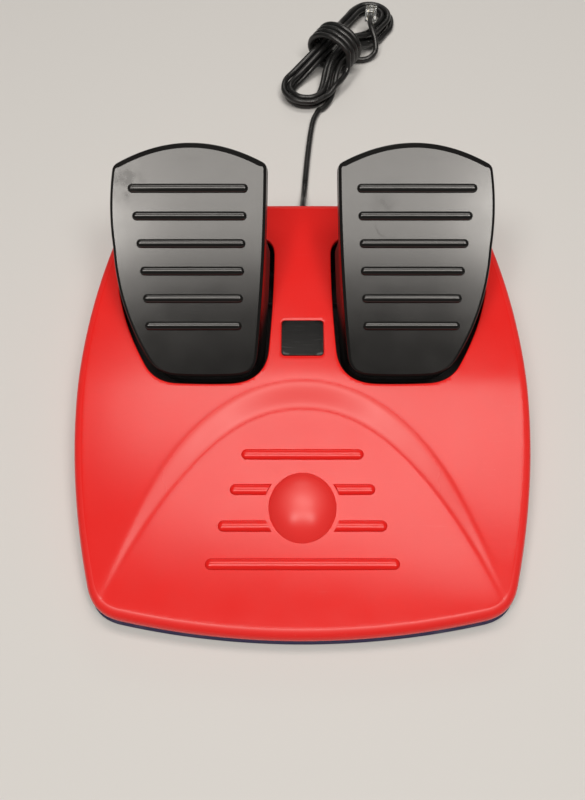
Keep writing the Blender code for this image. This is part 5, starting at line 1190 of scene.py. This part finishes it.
# Badge plate, tray, feet and screws
def make_badge():
    bm = bmesh.new()
    slope = Matrix.Rotation(math.atan(BACK_SLOPE), 4, "X")
    placing = Matrix.Translation((0, BADGE_Y, cover_height(BADGE_Y))) @ slope
    top = BADGE_FLOOR + BADGE_THICKNESS
    rings = []
    for inset, depth in BADGE_STEPS:
        z = top - depth * MM
        rings.append([placing @ Vector((p.x, p.y, z)) for p in badge_outline(-inset * MM)])
    lofted(bm, rings)
    tidy_shell(bm)
    finished("bare_badge", bm, badge_black(), ("badge_plate",), sharp=25)


def screw_places(group):
    return [(side * x, y) for x, y in group for side in (1, -1)]


def sink(bm, x, y, radius, depth):
    """Starts a round recess in the tray's underside: its rim, walls and roof."""
    rim = [Vector((x + radius * c, y + radius * s, FOOT_DROP)) for c, s in round_places(SINK_STEPS)]
    loft = Loft(bm, rim)
    mouth = loft.edges
    loft.grow([p + UP * depth for p in rim]).cap()
    return mouth


def make_tray(look):
    bm = bmesh.new()
    outline = even_outline(base_outline(), TRAY_POINT_SPACING)
    normals = outline_normals(outline)

    def ring(inset, z):
        return [Vector((p.x - n.x * inset, p.y - n.y * inset, z)) for p, n in zip(outline, normals)]

    loft = Loft(bm, ring(TRAY_EDGE_ROUNDING, FOOT_DROP))
    mouths = list(loft.edges)
    for inset, rise in TRAY_EDGE:
        loft.grow(ring(inset * MM, FOOT_DROP + rise * MM))
    lip_inner = TRAY_LIP_INSET + TRAY_LIP_THICKNESS
    lip_top = TRAY_RIM_TOP + TRAY_LIP_HEIGHT
    for inset, z in ((TRAY_LIP_INSET, TRAY_RIM_TOP), (TRAY_LIP_INSET, lip_top), (lip_inner, lip_top)):
        loft.grow(ring(inset, z))
    loft.grow(ring(lip_inner, FOOT_DROP + TRAY_FLOOR)).cap()
    for _, group in SCREWS:
        for x, y in screw_places(group):
            mouths += sink(bm, x, y, SCREW_SINK_RADIUS, SCREW_SINK_DEPTH)
    for _, x, y in FEET:
        for side, _ in SIDES:
            mouths += sink(bm, side * x, y, FOOT_RADIUS + FIT_GAP, FOOT_RECESS)
    bmesh.ops.triangle_fill(bm, use_beauty=True, use_dissolve=False, edges=mouths, normal=(0, 0, -1))
    tidy_shell(bm)
    finished("tray_shell", bm, moulded_navy(look), ("bottom_tray",))


def make_feet():
    profile = in_metres(FOOT_PROFILE)
    surface = soft_rubber()
    for row, x, y in FEET:
        for side, word in SIDES:
            bm = bmesh.new()
            spun(bm, profile, Matrix.Translation((side * x, y, 0)))
            tidy_shell(bm)
            finished(f"{row}_{word}_pad", bm, surface, (f"{row}_{word}_foot",))


def make_screws():
    """Flat-headed screws with a crossed drive."""
    surface = bright_steel()
    arm, half = DRIVE_ARM, DRIVE_HALF
    cross = [(arm, -half), (arm, half), (half, half), (half, arm), (-half, arm), (-half, half)]
    cross += [(-x, -y) for x, y in cross]
    head = FOOT_DROP + FIT_GAP
    shoulder = head + SCREW_HEAD_THICKNESS
    tip = shoulder + SCREW_LENGTH - 2 * FIT_GAP
    rings = (
        (SCREW_HEAD_RADIUS - 0.3 * MM, head),
        (SCREW_HEAD_RADIUS - 0.08 * MM, head + 0.08 * MM),
        (SCREW_HEAD_RADIUS, head + 0.3 * MM),
        (SCREW_HEAD_RADIUS, shoulder),
        (SCREW_RADIUS, shoulder),
        (SCREW_RADIUS, tip - SCREW_RADIUS),
        (SCREW_TIP_RADIUS, tip),
    )
    turns = round_places(SCREW_STEPS)
    for name, group in SCREWS:
        for index, (x, y) in enumerate(screw_places(group)):
            bm = bmesh.new()
            circles = [[Vector((x + r * c, y + r * s, z)) for c, s in turns] for r, z in rings]
            loft = Loft(bm, circles[0])
            mouths = list(loft.edges)
            for circle in circles[1:]:
                loft.grow(circle)
            loft.cap()
            slot = Loft(bm, [Vector((x + px, y + py, head)) for px, py in cross])
            mouths += slot.edges
            slot.grow([Vector((x + DRIVE_TAPER * px, y + DRIVE_TAPER * py, head + DRIVE_DEPTH)) for px, py in cross])
            slot.cap()
            bmesh.ops.triangle_fill(bm, use_beauty=True, use_dissolve=False, edges=mouths, normal=(0, 0, -1))
            tidy_shell(bm)
            finished(f"{name}_head_{index + 1}", bm, surface, (f"{name}_{index + 1}",))


# Pedals
def skirt_share(s):
    """1 where the skirt is deep, over the well, and 0 where it is shallow, towards the toe."""
    start, end = PEDAL_SKIRT_STEP
    return 1 - ease((s - start) / (end - start))


def skirt_depth(s):
    deep = PEDAL_SKIRT_HEEL + (PEDAL_SKIRT_TOE - PEDAL_SKIRT_HEEL) * s / PEDAL_TOE_END
    return PEDAL_SKIRT_TOE + (deep - PEDAL_SKIRT_TOE) * skirt_share(s)


def pedal_section(s, normal, look):
    """Steps (outward, depth) of the shell's wall at a place along the pedal, from the face round to the hollow."""
    radius, start = PEDAL_EDGE_RADIUS, PEDAL_BEVEL_ANGLE
    bevel = PEDAL_BEVEL_WIDTH + (PEDAL_TOE_BEVEL_WIDTH - PEDAL_BEVEL_WIDTH) * ease(normal.y)
    bevel_depth = (bevel - radius * (1 - math.sin(start))) * math.tan(start)
    lean = PEDAL_TOE_FLARE + (PEDAL_FLARE - PEDAL_TOE_FLARE) * skirt_share(s)
    deep = skirt_depth(s)
    flare = lean * (1 - PEDAL_OUTER_UPRIGHT * max(0, normal.x)) * deep
    steps = [(-bevel - PEDAL_FACE_FRAME, 0), (-bevel, 0)]
    for k in range(look.edge_steps + 1):
        angle = start + (math.pi / 2 - start) * k / look.edge_steps
        steps.append((-radius * (1 - math.sin(angle)), bevel_depth + radius * (math.cos(start) - math.cos(angle))))
    return steps + [
        (flare / 2, (steps[-1][1] + deep) / 2),
        (flare - PEDAL_LIP_CREASE, deep - PEDAL_LIP),
        (flare - PEDAL_LIP, deep),
        (flare - PEDAL_WALL + PEDAL_LIP, deep),
        (flare - PEDAL_WALL, deep - PEDAL_LIP),
        (-PEDAL_WALL, PEDAL_FACE),
    ]


def pedal_shell(bm, side, look):
    """Face, bevelled and rounded edge, flared skirt and hollow underside."""
    outline = even_outline(bowed_outline(in_metres(PEDAL_CORNERS)), PEDAL_POINT_SPACING)
    columns = []
    for point, normal in zip(outline, outline_normals(outline)):
        column = []
        for outward, depth in pedal_section(point.y, normal, look):
            moved = point + normal * outward
            column.append(PEDAL_PLACING @ Vector((side * moved.x, moved.y - PIVOT_S, PIVOT_DEPTH - depth)))
        columns.append(column)
    lofted(bm, list(zip(*columns)))


def pedal_ribs(bm, side):
    """Raised bars across the pedal, each a little longer than the one below."""
    for k in range(PEDAL_RIB_COUNT):
        share = k / (PEDAL_RIB_COUNT - 1)
        inner = PEDAL_RIB_INNER - PEDAL_RIB_INNER_SHIFT * k
        outer = PEDAL_RIB_OUTER + PEDAL_RIB_OUTER_GAIN * share ** PEDAL_RIB_OUTER_POWER
        s = PEDAL_RIB_FIRST_S + PEDAL_RIB_PITCH * k
        place = Matrix.Translation((side * (inner + outer) / 2, s - PIVOT_S, PIVOT_DEPTH))
        capsule(bm, (outer - inner) / 2, PEDAL_RIB_WIDTH / 2, PEDAL_RIB_HEIGHT, PEDAL_PLACING @ place,
                PEDAL_RIB_STEPS)


def pedal_barrel(bm, side):
    """Bearing barrel round the axle."""
    profile = (
        (BARREL_BORE, BARREL_INNER),
        (BARREL_RADIUS - BARREL_CHAMFER, BARREL_INNER),
        (BARREL_RADIUS, BARREL_INNER + BARREL_CHAMFER),
        (BARREL_RADIUS, BARREL_OUTER - BARREL_CHAMFER),
        (BARREL_RADIUS - BARREL_CHAMFER, BARREL_OUTER),
        (BARREL_BORE, BARREL_OUTER),
    )
    turns = round_places(BARREL_STEPS)
    circles = [[PIVOT + Vector((side * x, r * c, r * s)) for c, s in turns] for r, x in profile]
    loft = Loft(bm, circles[0])
    for circle in circles[1:] + circles[:1]:
        loft.grow(circle)
    bmesh.ops.remove_doubles(bm, verts=loft.all_verts, dist=FINE_MERGE)


def stop_leg(bm, side):
    """Web from the barrel to the face whose tip lands on the rubber stop."""
    under = PIVOT_DEPTH - PEDAL_FACE / 2
    back = STOP_LEG_REACH + STOP_LEG_WIDTH / 2
    outline = [
        (-BARREL_RADIUS, under),
        (-BARREL_RADIUS, 0),
        (0, -BARREL_RADIUS),
        (STOP_LEG_REACH - STOP_LEG_WIDTH / 2, -STOP_LEG_DEPTH),
        (back, -STOP_LEG_DEPTH),
        (back + STOP_LEG_WIDTH, under),
    ]
    place = PEDAL_PLACING @ upright(Vector((0, 0, 0)), side * STOP_LEG_X)
    verts = flat_plate(bm, outline, STOP_LEG_THICKNESS, place)
    rounded(bm, edges_among(verts), STOP_LEG_ROUNDING)


def spring_seat(bm, side):
    """Boss under the face, cut level where the spring seats, and the peg inside the spring."""
    seat = Vector((side * SPRING_X, SPRING_Y, SPRING_SEAT))
    local = PEDAL_PLACING.inverted() @ seat
    rim = [(local.x + SPRING_BOSS_RADIUS * c, local.y + SPRING_BOSS_RADIUS * s) for c, s in round_places(SPRING_STEPS)]
    rings = [[PEDAL_PLACING @ Vector((x, y, height)) for x, y in rim]
             for height in (PIVOT_DEPTH - PEDAL_FACE / 2, local.z)]
    for place, above in zip(rings[1], rings[0]):
        drop = (above.z - SPRING_SEAT) / PEDAL_NORMAL.z
        place[:] = above - PEDAL_NORMAL * drop
    lofted(bm, rings)
    long, wide, chamfer = SPRING_PEG_LENGTH, SPRING_PEG_RADIUS, SPRING_PEG_CHAMFER
    peg = ((0, long), (wide, long), (wide, chamfer - long), (wide - chamfer, -long), (0, -long))
    spun(bm, peg, Matrix.Translation(seat), SPRING_PEG_STEPS)


def tooth_half_angle(radius):
    """Half the angle that an involute tooth of the quadrant fills at a radius."""
    pitch = GEAR_MODULE * QUADRANT_TEETH / 2
    base = pitch * math.cos(PRESSURE_ANGLE)

    def unrolled(r):
        roll = math.acos(min(1.0, base / r))
        return math.tan(roll) - roll

    return math.pi * TOOTH_SHARE / QUADRANT_TEETH + unrolled(pitch) - unrolled(max(radius, base))


def quadrant(bm, side):
    """Toothed fan about the pivot that drives the pinion."""
    step = 2 * math.pi / QUADRANT_TEETH
    pitch = GEAR_MODULE * QUADRANT_TEETH / 2
    root = pitch - GEAR_MODULE * TOOTH_DEDENDUM
    tip = pitch + GEAR_MODULE * TOOTH_ADDENDUM
    radii = [root + (tip - root) * k / TOOTH_STEPS for k in range(TOOTH_STEPS + 1)]
    polar = []
    for k in QUADRANT_TEETH_SHOWN:
        polar += [(r, k * step - tooth_half_angle(r)) for r in radii]
        polar += [(r, k * step + tooth_half_angle(r)) for r in reversed(radii)]
    start = (QUADRANT_TEETH_SHOWN[-1] + 1) * step + QUADRANT_FAN
    end = 2 * math.pi + (QUADRANT_TEETH_SHOWN[0] - 1) * step - QUADRANT_FAN
    polar += [(QUADRANT_HUB, start + (end - start) * k / HUB_STEPS) for k in range(HUB_STEPS + 1)]
    outline = [(r * math.cos(a), r * math.sin(a)) for r, a in polar]
    flat_plate(bm, outline, QUADRANT_THICKNESS, upright(PIVOT, side * QUADRANT_X))


def mark_skirt(bm):
    """Notes how far each point lies under the face, for the duller finish of the sides."""
    layer = bm.verts.layers.float.new("skirt")
    to_pedal = PEDAL_PLACING.inverted()
    for vert in bm.verts:
        under = PIVOT_DEPTH - (to_pedal @ vert.co).z
        vert[layer] = ease((under - PEDAL_SKIRT_FROM) / PEDAL_SKIRT_FADE)


def make_pedals(look):
    for side, word in SIDES:
        bm = bmesh.new()
        pedal_shell(bm, side, look)
        pedal_ribs(bm, side)
        pedal_barrel(bm, side)
        stop_leg(bm, side)
        spring_seat(bm, side)
        quadrant(bm, side)
        mark_skirt(bm)
        tidy_shell(bm)
        finished(f"{word}_pedal_moulding", bm, pedal_black(look, side, word), (f"{word}_pedal",), sharp=26)


def tube_curve(name, path, radius, quarter_steps):
    curve = bpy.data.curves.new(name, "CURVE")
    curve.dimensions = "3D"
    curve.bevel_depth = radius
    curve.bevel_resolution = quarter_steps
    curve.use_fill_caps = True
    spline = curve.splines.new("POLY")
    spline.points.add(len(path) - 1)
    for point, place in zip(spline.points, path):
        point.co = (*place, 1)
    spline.use_smooth = True
    return bpy.data.objects.new(name, curve)


def make_springs():
    """Coil springs with closed end turns."""
    surface = bright_steel()
    steps = SPRING_TURNS * SPRING_STEPS
    rates = [SPRING_END_RISE + (1 - SPRING_END_RISE) * ease(min(k, steps - k) / SPRING_STEPS - 0.5)
             for k in range(steps + 1)]
    total = sum(rates[1:])
    low = SPRING_FLOOR + SPRING_WIRE / 2
    high = SPRING_TOP - SPRING_WIRE / 2
    for side, word in SIDES:
        path = []
        risen = 0
        for k in range(steps + 1):
            a = 2 * math.pi * k / SPRING_STEPS
            risen += rates[k] if k else 0
            path.append(Vector((side * SPRING_X + SPRING_RADIUS * math.cos(a),
                                SPRING_Y + SPRING_RADIUS * math.sin(a), low + (high - low) * risen / total)))
        curve = tube_curve("spring_wire", path, SPRING_WIRE / 2, 2)
        bpy.context.scene.collection.objects.link(curve)
        bpy.context.view_layer.update()
        mesh = bpy.data.meshes.new_from_object(curve.evaluated_get(bpy.context.evaluated_depsgraph_get()))
        bpy.data.objects.remove(curve)
        mesh.name = f"{word}_coil_spring"
        mesh.shade_smooth()
        spring = settle(bpy.data.objects.new(f"{word}_coil_spring", mesh), surface, (f"{word}_return_spring",))
        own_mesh(spring)


# Pieces inside, whose solids are already right
SMOOTHED = (
    ("well", "well_shell", "well_black"),
    ("axle", "axle_rod", "bright_steel"),
    ("bump_stop", "stop_pad", "soft_rubber"),
    ("potentiometer", "sensor_can", "bright_steel"),
    ("pot_nut", "sensor_nut", "bright_steel"),
    ("pot_bracket", "sensor_bracket", "bright_steel"),
    ("pot_shaft", "sensor_shaft", "bright_steel"),
    ("pinion", "sensor_pinion", "white_nylon"),
    ("pot_lead", "sensor_lead", "cord_vinyl"),
)


def smooth_copy(node, name, surface):
    """Copy of a solid with its facets joined, so that round faces shade as round."""
    bm = bmesh.new()
    bm.from_mesh(frame["nodes"][node].data)
    bmesh.ops.remove_doubles(bm, verts=bm.verts, dist=MERGE)
    bmesh.ops.dissolve_limit(bm, angle_limit=math.radians(1), verts=bm.verts, edges=bm.edges)
    return finished(name, bm, surface, (node,), sharp=32)


def make_inner_pieces(cord_look):
    surfaces = {
        "well_black": well_black(),
        "bright_steel": bright_steel(),
        "soft_rubber": soft_rubber(),
        "white_nylon": white_nylon(),
        "cord_vinyl": cord_vinyl(cord_look),
    }
    for node, name, finish in SMOOTHED:
        for _, word in SIDES:
            smooth_copy(f"{word}_{node}", f"{word}_{name}", surfaces[finish])
    smooth_copy("splice_sleeve", "splice_cover", surfaces["soft_rubber"])
    smooth_copy("cord_tail", "inner_cord", surfaces["cord_vinyl"])


# Cord, relief and plug
def from_hank(along, across, height):
    """World place of a point given along and to the right of the hank's axis."""
    lean_x = math.sin(HANK_HEADING)
    lean_y = math.cos(HANK_HEADING)
    return Vector((HANK_SIDE + along * lean_x + across * lean_y, HANK_Y + along * lean_y - across * lean_x, height))


def waist_draw(along):
    """How far the runs are drawn in and lifted: 1 under the wraps, 0 at the end arcs."""
    if along < 0:
        return ease((HANK_NEAR_ARC + along) / (HANK_NEAR_ARC - HANK_WAIST_LENGTH))
    return ease((HANK_FAR_DRAW - along) / (HANK_FAR_DRAW - HANK_WAIST_LENGTH))


def hank_point(turn):
    """Point of the piled loops after a number of turns, counted from the start of the right-hand run."""
    run = HANK_RUN_SHARE
    arc = HANK_ARC_SHARE
    phase = turn % 1
    spiral = abs(turn - HANK_REVERSAL)
    half = HANK_INNER_HALF + HANK_STEP * spiral
    waist = HANK_WAIST_HALF + HANK_WAIST_STEP * spiral
    length = HANK_NEAR_ARC + HANK_FAR_ARC
    side = 1 if phase < run + arc else -1
    step = phase if side > 0 else phase - run - arc
    if step < run:
        along = side * (length * step / run - length / 2) + (HANK_FAR_ARC - HANK_NEAR_ARC) / 2
        draw = waist_draw(along)
        across = side * (half + (waist - half) * draw)
    else:
        angle = math.pi * (step - run) / arc
        along = (HANK_FAR_ARC if side > 0 else -HANK_NEAR_ARC) + side * half * math.sin(angle)
        across = side * half * math.cos(angle)
        draw = 0
    layer = ease((turn - HANK_REVERSAL) / run + 0.5)
    return from_hank(along, across, CORD_REST_HEIGHT + HANK_LAYER * layer + HANK_LIFT * draw)


def wrap_point(turn):
    """Point of the wraps round the waist."""
    angle = WRAP_FIRST + 2 * math.pi * turn
    return from_hank(WRAP_PITCH * (turn - WRAP_TURNS / 2), WRAP_SIDE_SHIFT + WRAP_HALF_WIDTH * math.cos(angle),
                     CORD_REST_HEIGHT + WRAP_HALF_HEIGHT * (1 + math.sin(angle)))


def hank_route():
    """Whole hank as one smooth row of points: entry, piled loops, wraps, tail to the plug."""
    entry, climb, tail = [[from_hank(*row) for row in in_metres(rows)] for rows in (HANK_ENTRY, HANK_CLIMB, TAIL_ROUTE)]
    loops = [hank_point(k / HANK_STEPS) for k in range(HANK_TURNS * HANK_STEPS)]
    count = round(WRAP_TURNS * WRAP_STEPS)
    wraps = [wrap_point(WRAP_TURNS * k / count) for k in range(count + 1)]
    return entry + loops + climb + wraps + tail


def plug_frame():
    """Centre and pointing direction of the plug, which lies across the far loops."""
    centre = from_hank(PLUG_ALONG, PLUG_ACROSS, PLUG_LIE)
    ahead = from_hank(PLUG_ALONG + math.cos(PLUG_TURN), PLUG_ACROSS + math.sin(PLUG_TURN), PLUG_LIE)
    return centre, (ahead - centre).normalized()


def run_route(meeting, onward):
    """Free run: level out of the relief, down to the floor and in a slight bend to the hank."""
    leave = CORD_EXIT + Vector((0, CORD_DIAMETER, 0))
    arrive = meeting - onward * CORD_DIAMETER
    reach = (arrive - leave).length * CORD_RUN_STIFFNESS
    points = []
    for k in range(CORD_RUN_STEPS + 1):
        t = k / CORD_RUN_STEPS
        point = leave.lerp(arrive, ease(t))
        point += Vector((0, reach, 0)) * t * (1 - t) ** 2 - onward * reach * t ** 2 * (1 - t)
        point.z = CORD_EXIT.z + (CORD_REST_HEIGHT - CORD_EXIT.z) * ease((point.y - leave.y) / CORD_DROP_LENGTH)
        points.append(point)
    return points


def cord_path():
    """The cord from inside its relief to inside its plug."""
    hank = hank_route()
    meeting = hank[0]
    chord = meeting - CORD_EXIT
    chord.z = 0
    onward = ((hank[1] - meeting).normalized() + chord.normalized()).normalized()
    centre, ahead = plug_frame()
    plug_back = centre - ahead * (PLUG_LENGTH / 2 + PLUG_GAP)
    before = even_path(smooth_path(run_route(meeting, onward), CORD_SPAN_STEPS), CORD_POINT_SPACING)
    route = [meeting + onward * CORD_DIAMETER, *hank[1:], plug_back - ahead * CORD_DIAMETER]
    after = smooth_path(route, CORD_SPAN_STEPS)
    inside_relief = [CORD_EXIT - Vector((0, CORD_IN_RELIEF, 0)), CORD_EXIT.copy()]
    inside_plug = [plug_back, plug_back + ahead * CORD_IN_PLUG]
    return inside_relief + before + even_path(after, CORD_POINT_SPACING) + inside_plug


def make_relief():
    """Ribbed rubber sleeve that leads the cord out of the back wall."""
    profile = list(RELIEF_COLLAR)
    for k in range(RELIEF_RIBS):
        start = RELIEF_RIB_START + RELIEF_RIB_PITCH * k
        outer = RELIEF_RIB_RADIUS - RELIEF_RIB_TAPER * k
        profile += [(outer - cut, start + along) for cut, along in RELIEF_RIB]
    profile += RELIEF_END
    bm = bmesh.new()
    place = Matrix.Translation((0, BACK_Y, CORD_EXIT.z)) @ Matrix.Rotation(-math.pi / 2, 4, "X")
    spun(bm, in_metres(profile), place)
    tidy_shell(bm)
    finished("relief_sleeve", bm, soft_rubber(), ("strain_relief",), sharp=32)


def make_plug():
    """Clear modular plug with a sprung latch, a clamp pocket and a row of contacts."""
    centre, ahead = plug_frame()
    place = Matrix.Translation(centre) @ ahead.to_track_quat("Y", "Z").to_matrix().to_4x4()
    size = Matrix.Diagonal((PLUG_WIDTH, PLUG_LENGTH, PLUG_HEIGHT, 1))
    bm = bmesh.new()
    bmesh.ops.create_cube(bm, size=1, matrix=size)
    below = [face for face in bm.faces if face.normal.z < -0.9]
    bmesh.ops.inset_region(bm, faces=below, thickness=PLUG_POCKET_FRAME, depth=0)
    pocket = [vert for face in below for vert in face.verts]
    bmesh.ops.translate(bm, vec=PLUG_POCKET_SHIFT, verts=pocket)
    rounded(bm, [edge for edge in bm.edges if edge.calc_face_angle(0) > 1], PLUG_ROUNDING)
    half_length = PLUG_LENGTH / 2
    half_height = PLUG_HEIGHT / 2
    profile = [(half_length - 2 * MM, half_height - 1 * MM), (half_length - 0.6 * MM, half_height - 1 * MM),
               (half_length - 0.6 * MM, half_height + 1 * MM), (2 * MM - half_length, half_height + 3.2 * MM),
               (2 * MM - half_length, half_height + 2.2 * MM), (half_length - 2 * MM, half_height + 0.2 * MM)]
    latch = flat_plate(bm, profile, LATCH_WIDTH, upright(Vector((0, 0, 0)), 0))
    rounded(bm, edges_among(latch), LATCH_ROUNDING)
    bmesh.ops.transform(bm, matrix=place, verts=bm.verts)
    tidy_shell(bm)
    finished("clear_plug_shell", bm, clear_plug(), ("cord_plug",))
    bm = bmesh.new()
    for k in range(CONTACT_COUNT):
        x = (k - (CONTACT_COUNT - 1) / 2) * CONTACT_PITCH
        blade = Matrix.Translation((x, half_length - CONTACT_BACK, CONTACT_RISE - half_height))
        bmesh.ops.create_cube(bm, size=1, matrix=place @ blade @ Matrix.Diagonal(CONTACT_SIZE))
    rounded(bm, bm.edges[:], CONTACT_ROUNDING, 1)
    finished("plug_contacts", bm, contact_gold(), (), body="base")


def make_cord(look):
    cord = tube_curve("free_cord", cord_path(), CORD_DIAMETER / 2, look.roundness)
    settle(cord, cord_vinyl(look), ("cord_run", "cord_hank"))


# Stage
def area_light(name, power, size, place, aim):
    light = bpy.data.lights.new(name, "AREA")
    light.shape = "RECTANGLE"
    light.size, light.size_y = size
    light.energy = power
    light.color = LAMP_TINT
    lamp = bpy.data.objects.new(name, light)
    lamp.location = place
    lamp.rotation_euler = (Vector(aim) - Vector(place)).to_track_quat("-Z", "Y").to_euler()
    bpy.context.scene.collection.objects.link(lamp)


def make_stage(look):
    scene = bpy.context.scene
    scene.view_settings.view_transform = "Standard"
    bm = bmesh.new()
    bmesh.ops.create_grid(bm, x_segments=1, y_segments=1, size=FLOOR_HALF)
    mesh = bpy.data.meshes.new("pale_floor")
    bm.to_mesh(mesh)
    bm.free()
    mesh.materials.append(floor_paint(look))
    floor = bpy.data.objects.new("pale_floor", mesh)
    scene.collection.objects.link(floor)
    world = bpy.data.worlds.new("room")
    world.use_nodes = True
    background = world.node_tree.nodes["Background"]
    background.inputs["Color"].default_value = ROOM_TINT
    background.inputs["Strength"].default_value = look.fill
    scene.world = world
    area_light("rear_softbox", look.key, *REAR_SOFTBOX)
    area_light("front_softbox", look.front, *FRONT_SOFTBOX)
    area_light("back_softbox", look.back, *BACK_SOFTBOX)
    size, (x, y, z), aim = CORNER_SOFTBOX
    for side, word in SIDES:
        area_light(f"{word}_softbox", look.sides, size, (side * x, y, z), aim)
    data = bpy.data.cameras.new("photo_camera")
    data.lens = look.lens
    data.sensor_width = SENSOR_WIDTH
    data.shift_x = CAMERA_SHIFT
    camera = bpy.data.objects.new("photo_camera", data)
    camera.location = CAMERA_PLACE
    camera.rotation_euler = (CAMERA_TILT, 0, 0)
    scene.collection.objects.link(camera)
    scene.camera = camera


# Operators
class FOOTCONTROLLER_OT_stage(Operator):
    """Lay the floor and set the light and the camera"""
    bl_idname = "foot_controller.stage"
    bl_label = "Stage"

    def execute(self, context):
        make_stage(context.scene.stage_look)
        return {"FINISHED"}


class FOOTCONTROLLER_OT_relief(Operator):
    """Turn the ribbed sleeve where the cord leaves the back wall"""
    bl_idname = "foot_controller.relief"
    bl_label = "Strain Relief"

    def execute(self, context):
        make_relief()
        return {"FINISHED"}


class FOOTCONTROLLER_OT_plug(Operator):
    """Mould the clear plug with its latch and contacts"""
    bl_idname = "foot_controller.plug"
    bl_label = "Plug"

    def execute(self, context):
        make_plug()
        return {"FINISHED"}


class FOOTCONTROLLER_OT_cord(Operator):
    """Lay the cord from its relief through the wrapped hank to its plug"""
    bl_idname = "foot_controller.cord"
    bl_label = "Cord"

    def execute(self, context):
        make_cord(context.scene.cord_look)
        return {"FINISHED"}


class FOOTCONTROLLER_OT_cover(Operator):
    """Mould the cover with its heel scoop, dome, ribs and openings"""
    bl_idname = "foot_controller.cover"
    bl_label = "Cover"

    def execute(self, context):
        make_cover(context.scene.cover_look)
        return {"FINISHED"}


class FOOTCONTROLLER_OT_badge(Operator):
    """Set the bare badge plate in its recess"""
    bl_idname = "foot_controller.badge"
    bl_label = "Badge Plate"

    def execute(self, context):
        make_badge()
        return {"FINISHED"}


class FOOTCONTROLLER_OT_tray(Operator):
    """Mould the bottom tray with its recesses"""
    bl_idname = "foot_controller.tray"
    bl_label = "Bottom Tray"

    def execute(self, context):
        make_tray(context.scene.cover_look)
        return {"FINISHED"}


class FOOTCONTROLLER_OT_fixings(Operator):
    """Make the rubber feet and the screws"""
    bl_idname = "foot_controller.fixings"
    bl_label = "Feet and Screws"

    def execute(self, context):
        make_feet()
        make_screws()
        return {"FINISHED"}


class FOOTCONTROLLER_OT_pedals(Operator):
    """Mould both pedals with their ribs and their working parts underneath"""
    bl_idname = "foot_controller.pedals"
    bl_label = "Pedals"

    def execute(self, context):
        make_pedals(context.scene.pedal_look)
        return {"FINISHED"}


class FOOTCONTROLLER_OT_springs(Operator):
    """Wind the return springs"""
    bl_idname = "foot_controller.springs"
    bl_label = "Return Springs"

    def execute(self, context):
        make_springs()
        return {"FINISHED"}


class FOOTCONTROLLER_OT_inner(Operator):
    """Finish the wells, axles, stops and sensors"""
    bl_idname = "foot_controller.inner"
    bl_label = "Wells and Sensors"

    def execute(self, context):
        make_inner_pieces(context.scene.cord_look)
        return {"FINISHED"}


LOOKS = (("cover_look", CoverLook), ("pedal_look", PedalLook), ("cord_look", CordLook), ("stage_look", StageLook))
OPERATORS = (
    FOOTCONTROLLER_OT_stage,
    FOOTCONTROLLER_OT_relief,
    FOOTCONTROLLER_OT_plug,
    FOOTCONTROLLER_OT_cord,
    FOOTCONTROLLER_OT_cover,
    FOOTCONTROLLER_OT_badge,
    FOOTCONTROLLER_OT_tray,
    FOOTCONTROLLER_OT_fixings,
    FOOTCONTROLLER_OT_pedals,
    FOOTCONTROLLER_OT_springs,
    FOOTCONTROLLER_OT_inner,
)


class FOOTCONTROLLER_PT_pieces(Panel):
    """Sizes, colours and pieces of the foot controller"""
    bl_idname = "FOOTCONTROLLER_PT_pieces"
    bl_label = "Foot Controller"
    bl_space_type = "VIEW_3D"
    bl_region_type = "UI"
    bl_category = "Foot Controller"

    def draw(self, context):
        for name, group in LOOKS:
            box = self.layout.box()
            for field in group.__annotations__:
                box.prop(getattr(context.scene, name), field)
        for operator in OPERATORS:
            self.layout.operator(operator.bl_idname)


def register():
    for name, group in LOOKS:
        bpy.utils.register_class(group)
        setattr(bpy.types.Scene, name, PointerProperty(type=group))
    for operator in OPERATORS:
        bpy.utils.register_class(operator)
    bpy.utils.register_class(FOOTCONTROLLER_PT_pieces)


def unregister():
    bpy.utils.unregister_class(FOOTCONTROLLER_PT_pieces)
    for operator in reversed(OPERATORS):
        bpy.utils.unregister_class(operator)
    for name, group in reversed(LOOKS):
        delattr(bpy.types.Scene, name)
        bpy.utils.unregister_class(group)


def main():
    register()
    bpy.ops.foot_controller.stage()
    bpy.ops.foot_controller.relief()
    bpy.ops.foot_controller.plug()
    bpy.ops.foot_controller.cord()
    bpy.ops.foot_controller.cover()
    bpy.ops.foot_controller.badge()
    bpy.ops.foot_controller.tray()
    bpy.ops.foot_controller.fixings()
    bpy.ops.foot_controller.pedals()
    bpy.ops.foot_controller.springs()
    bpy.ops.foot_controller.inner()


if __name__ == "__main__":
    main()
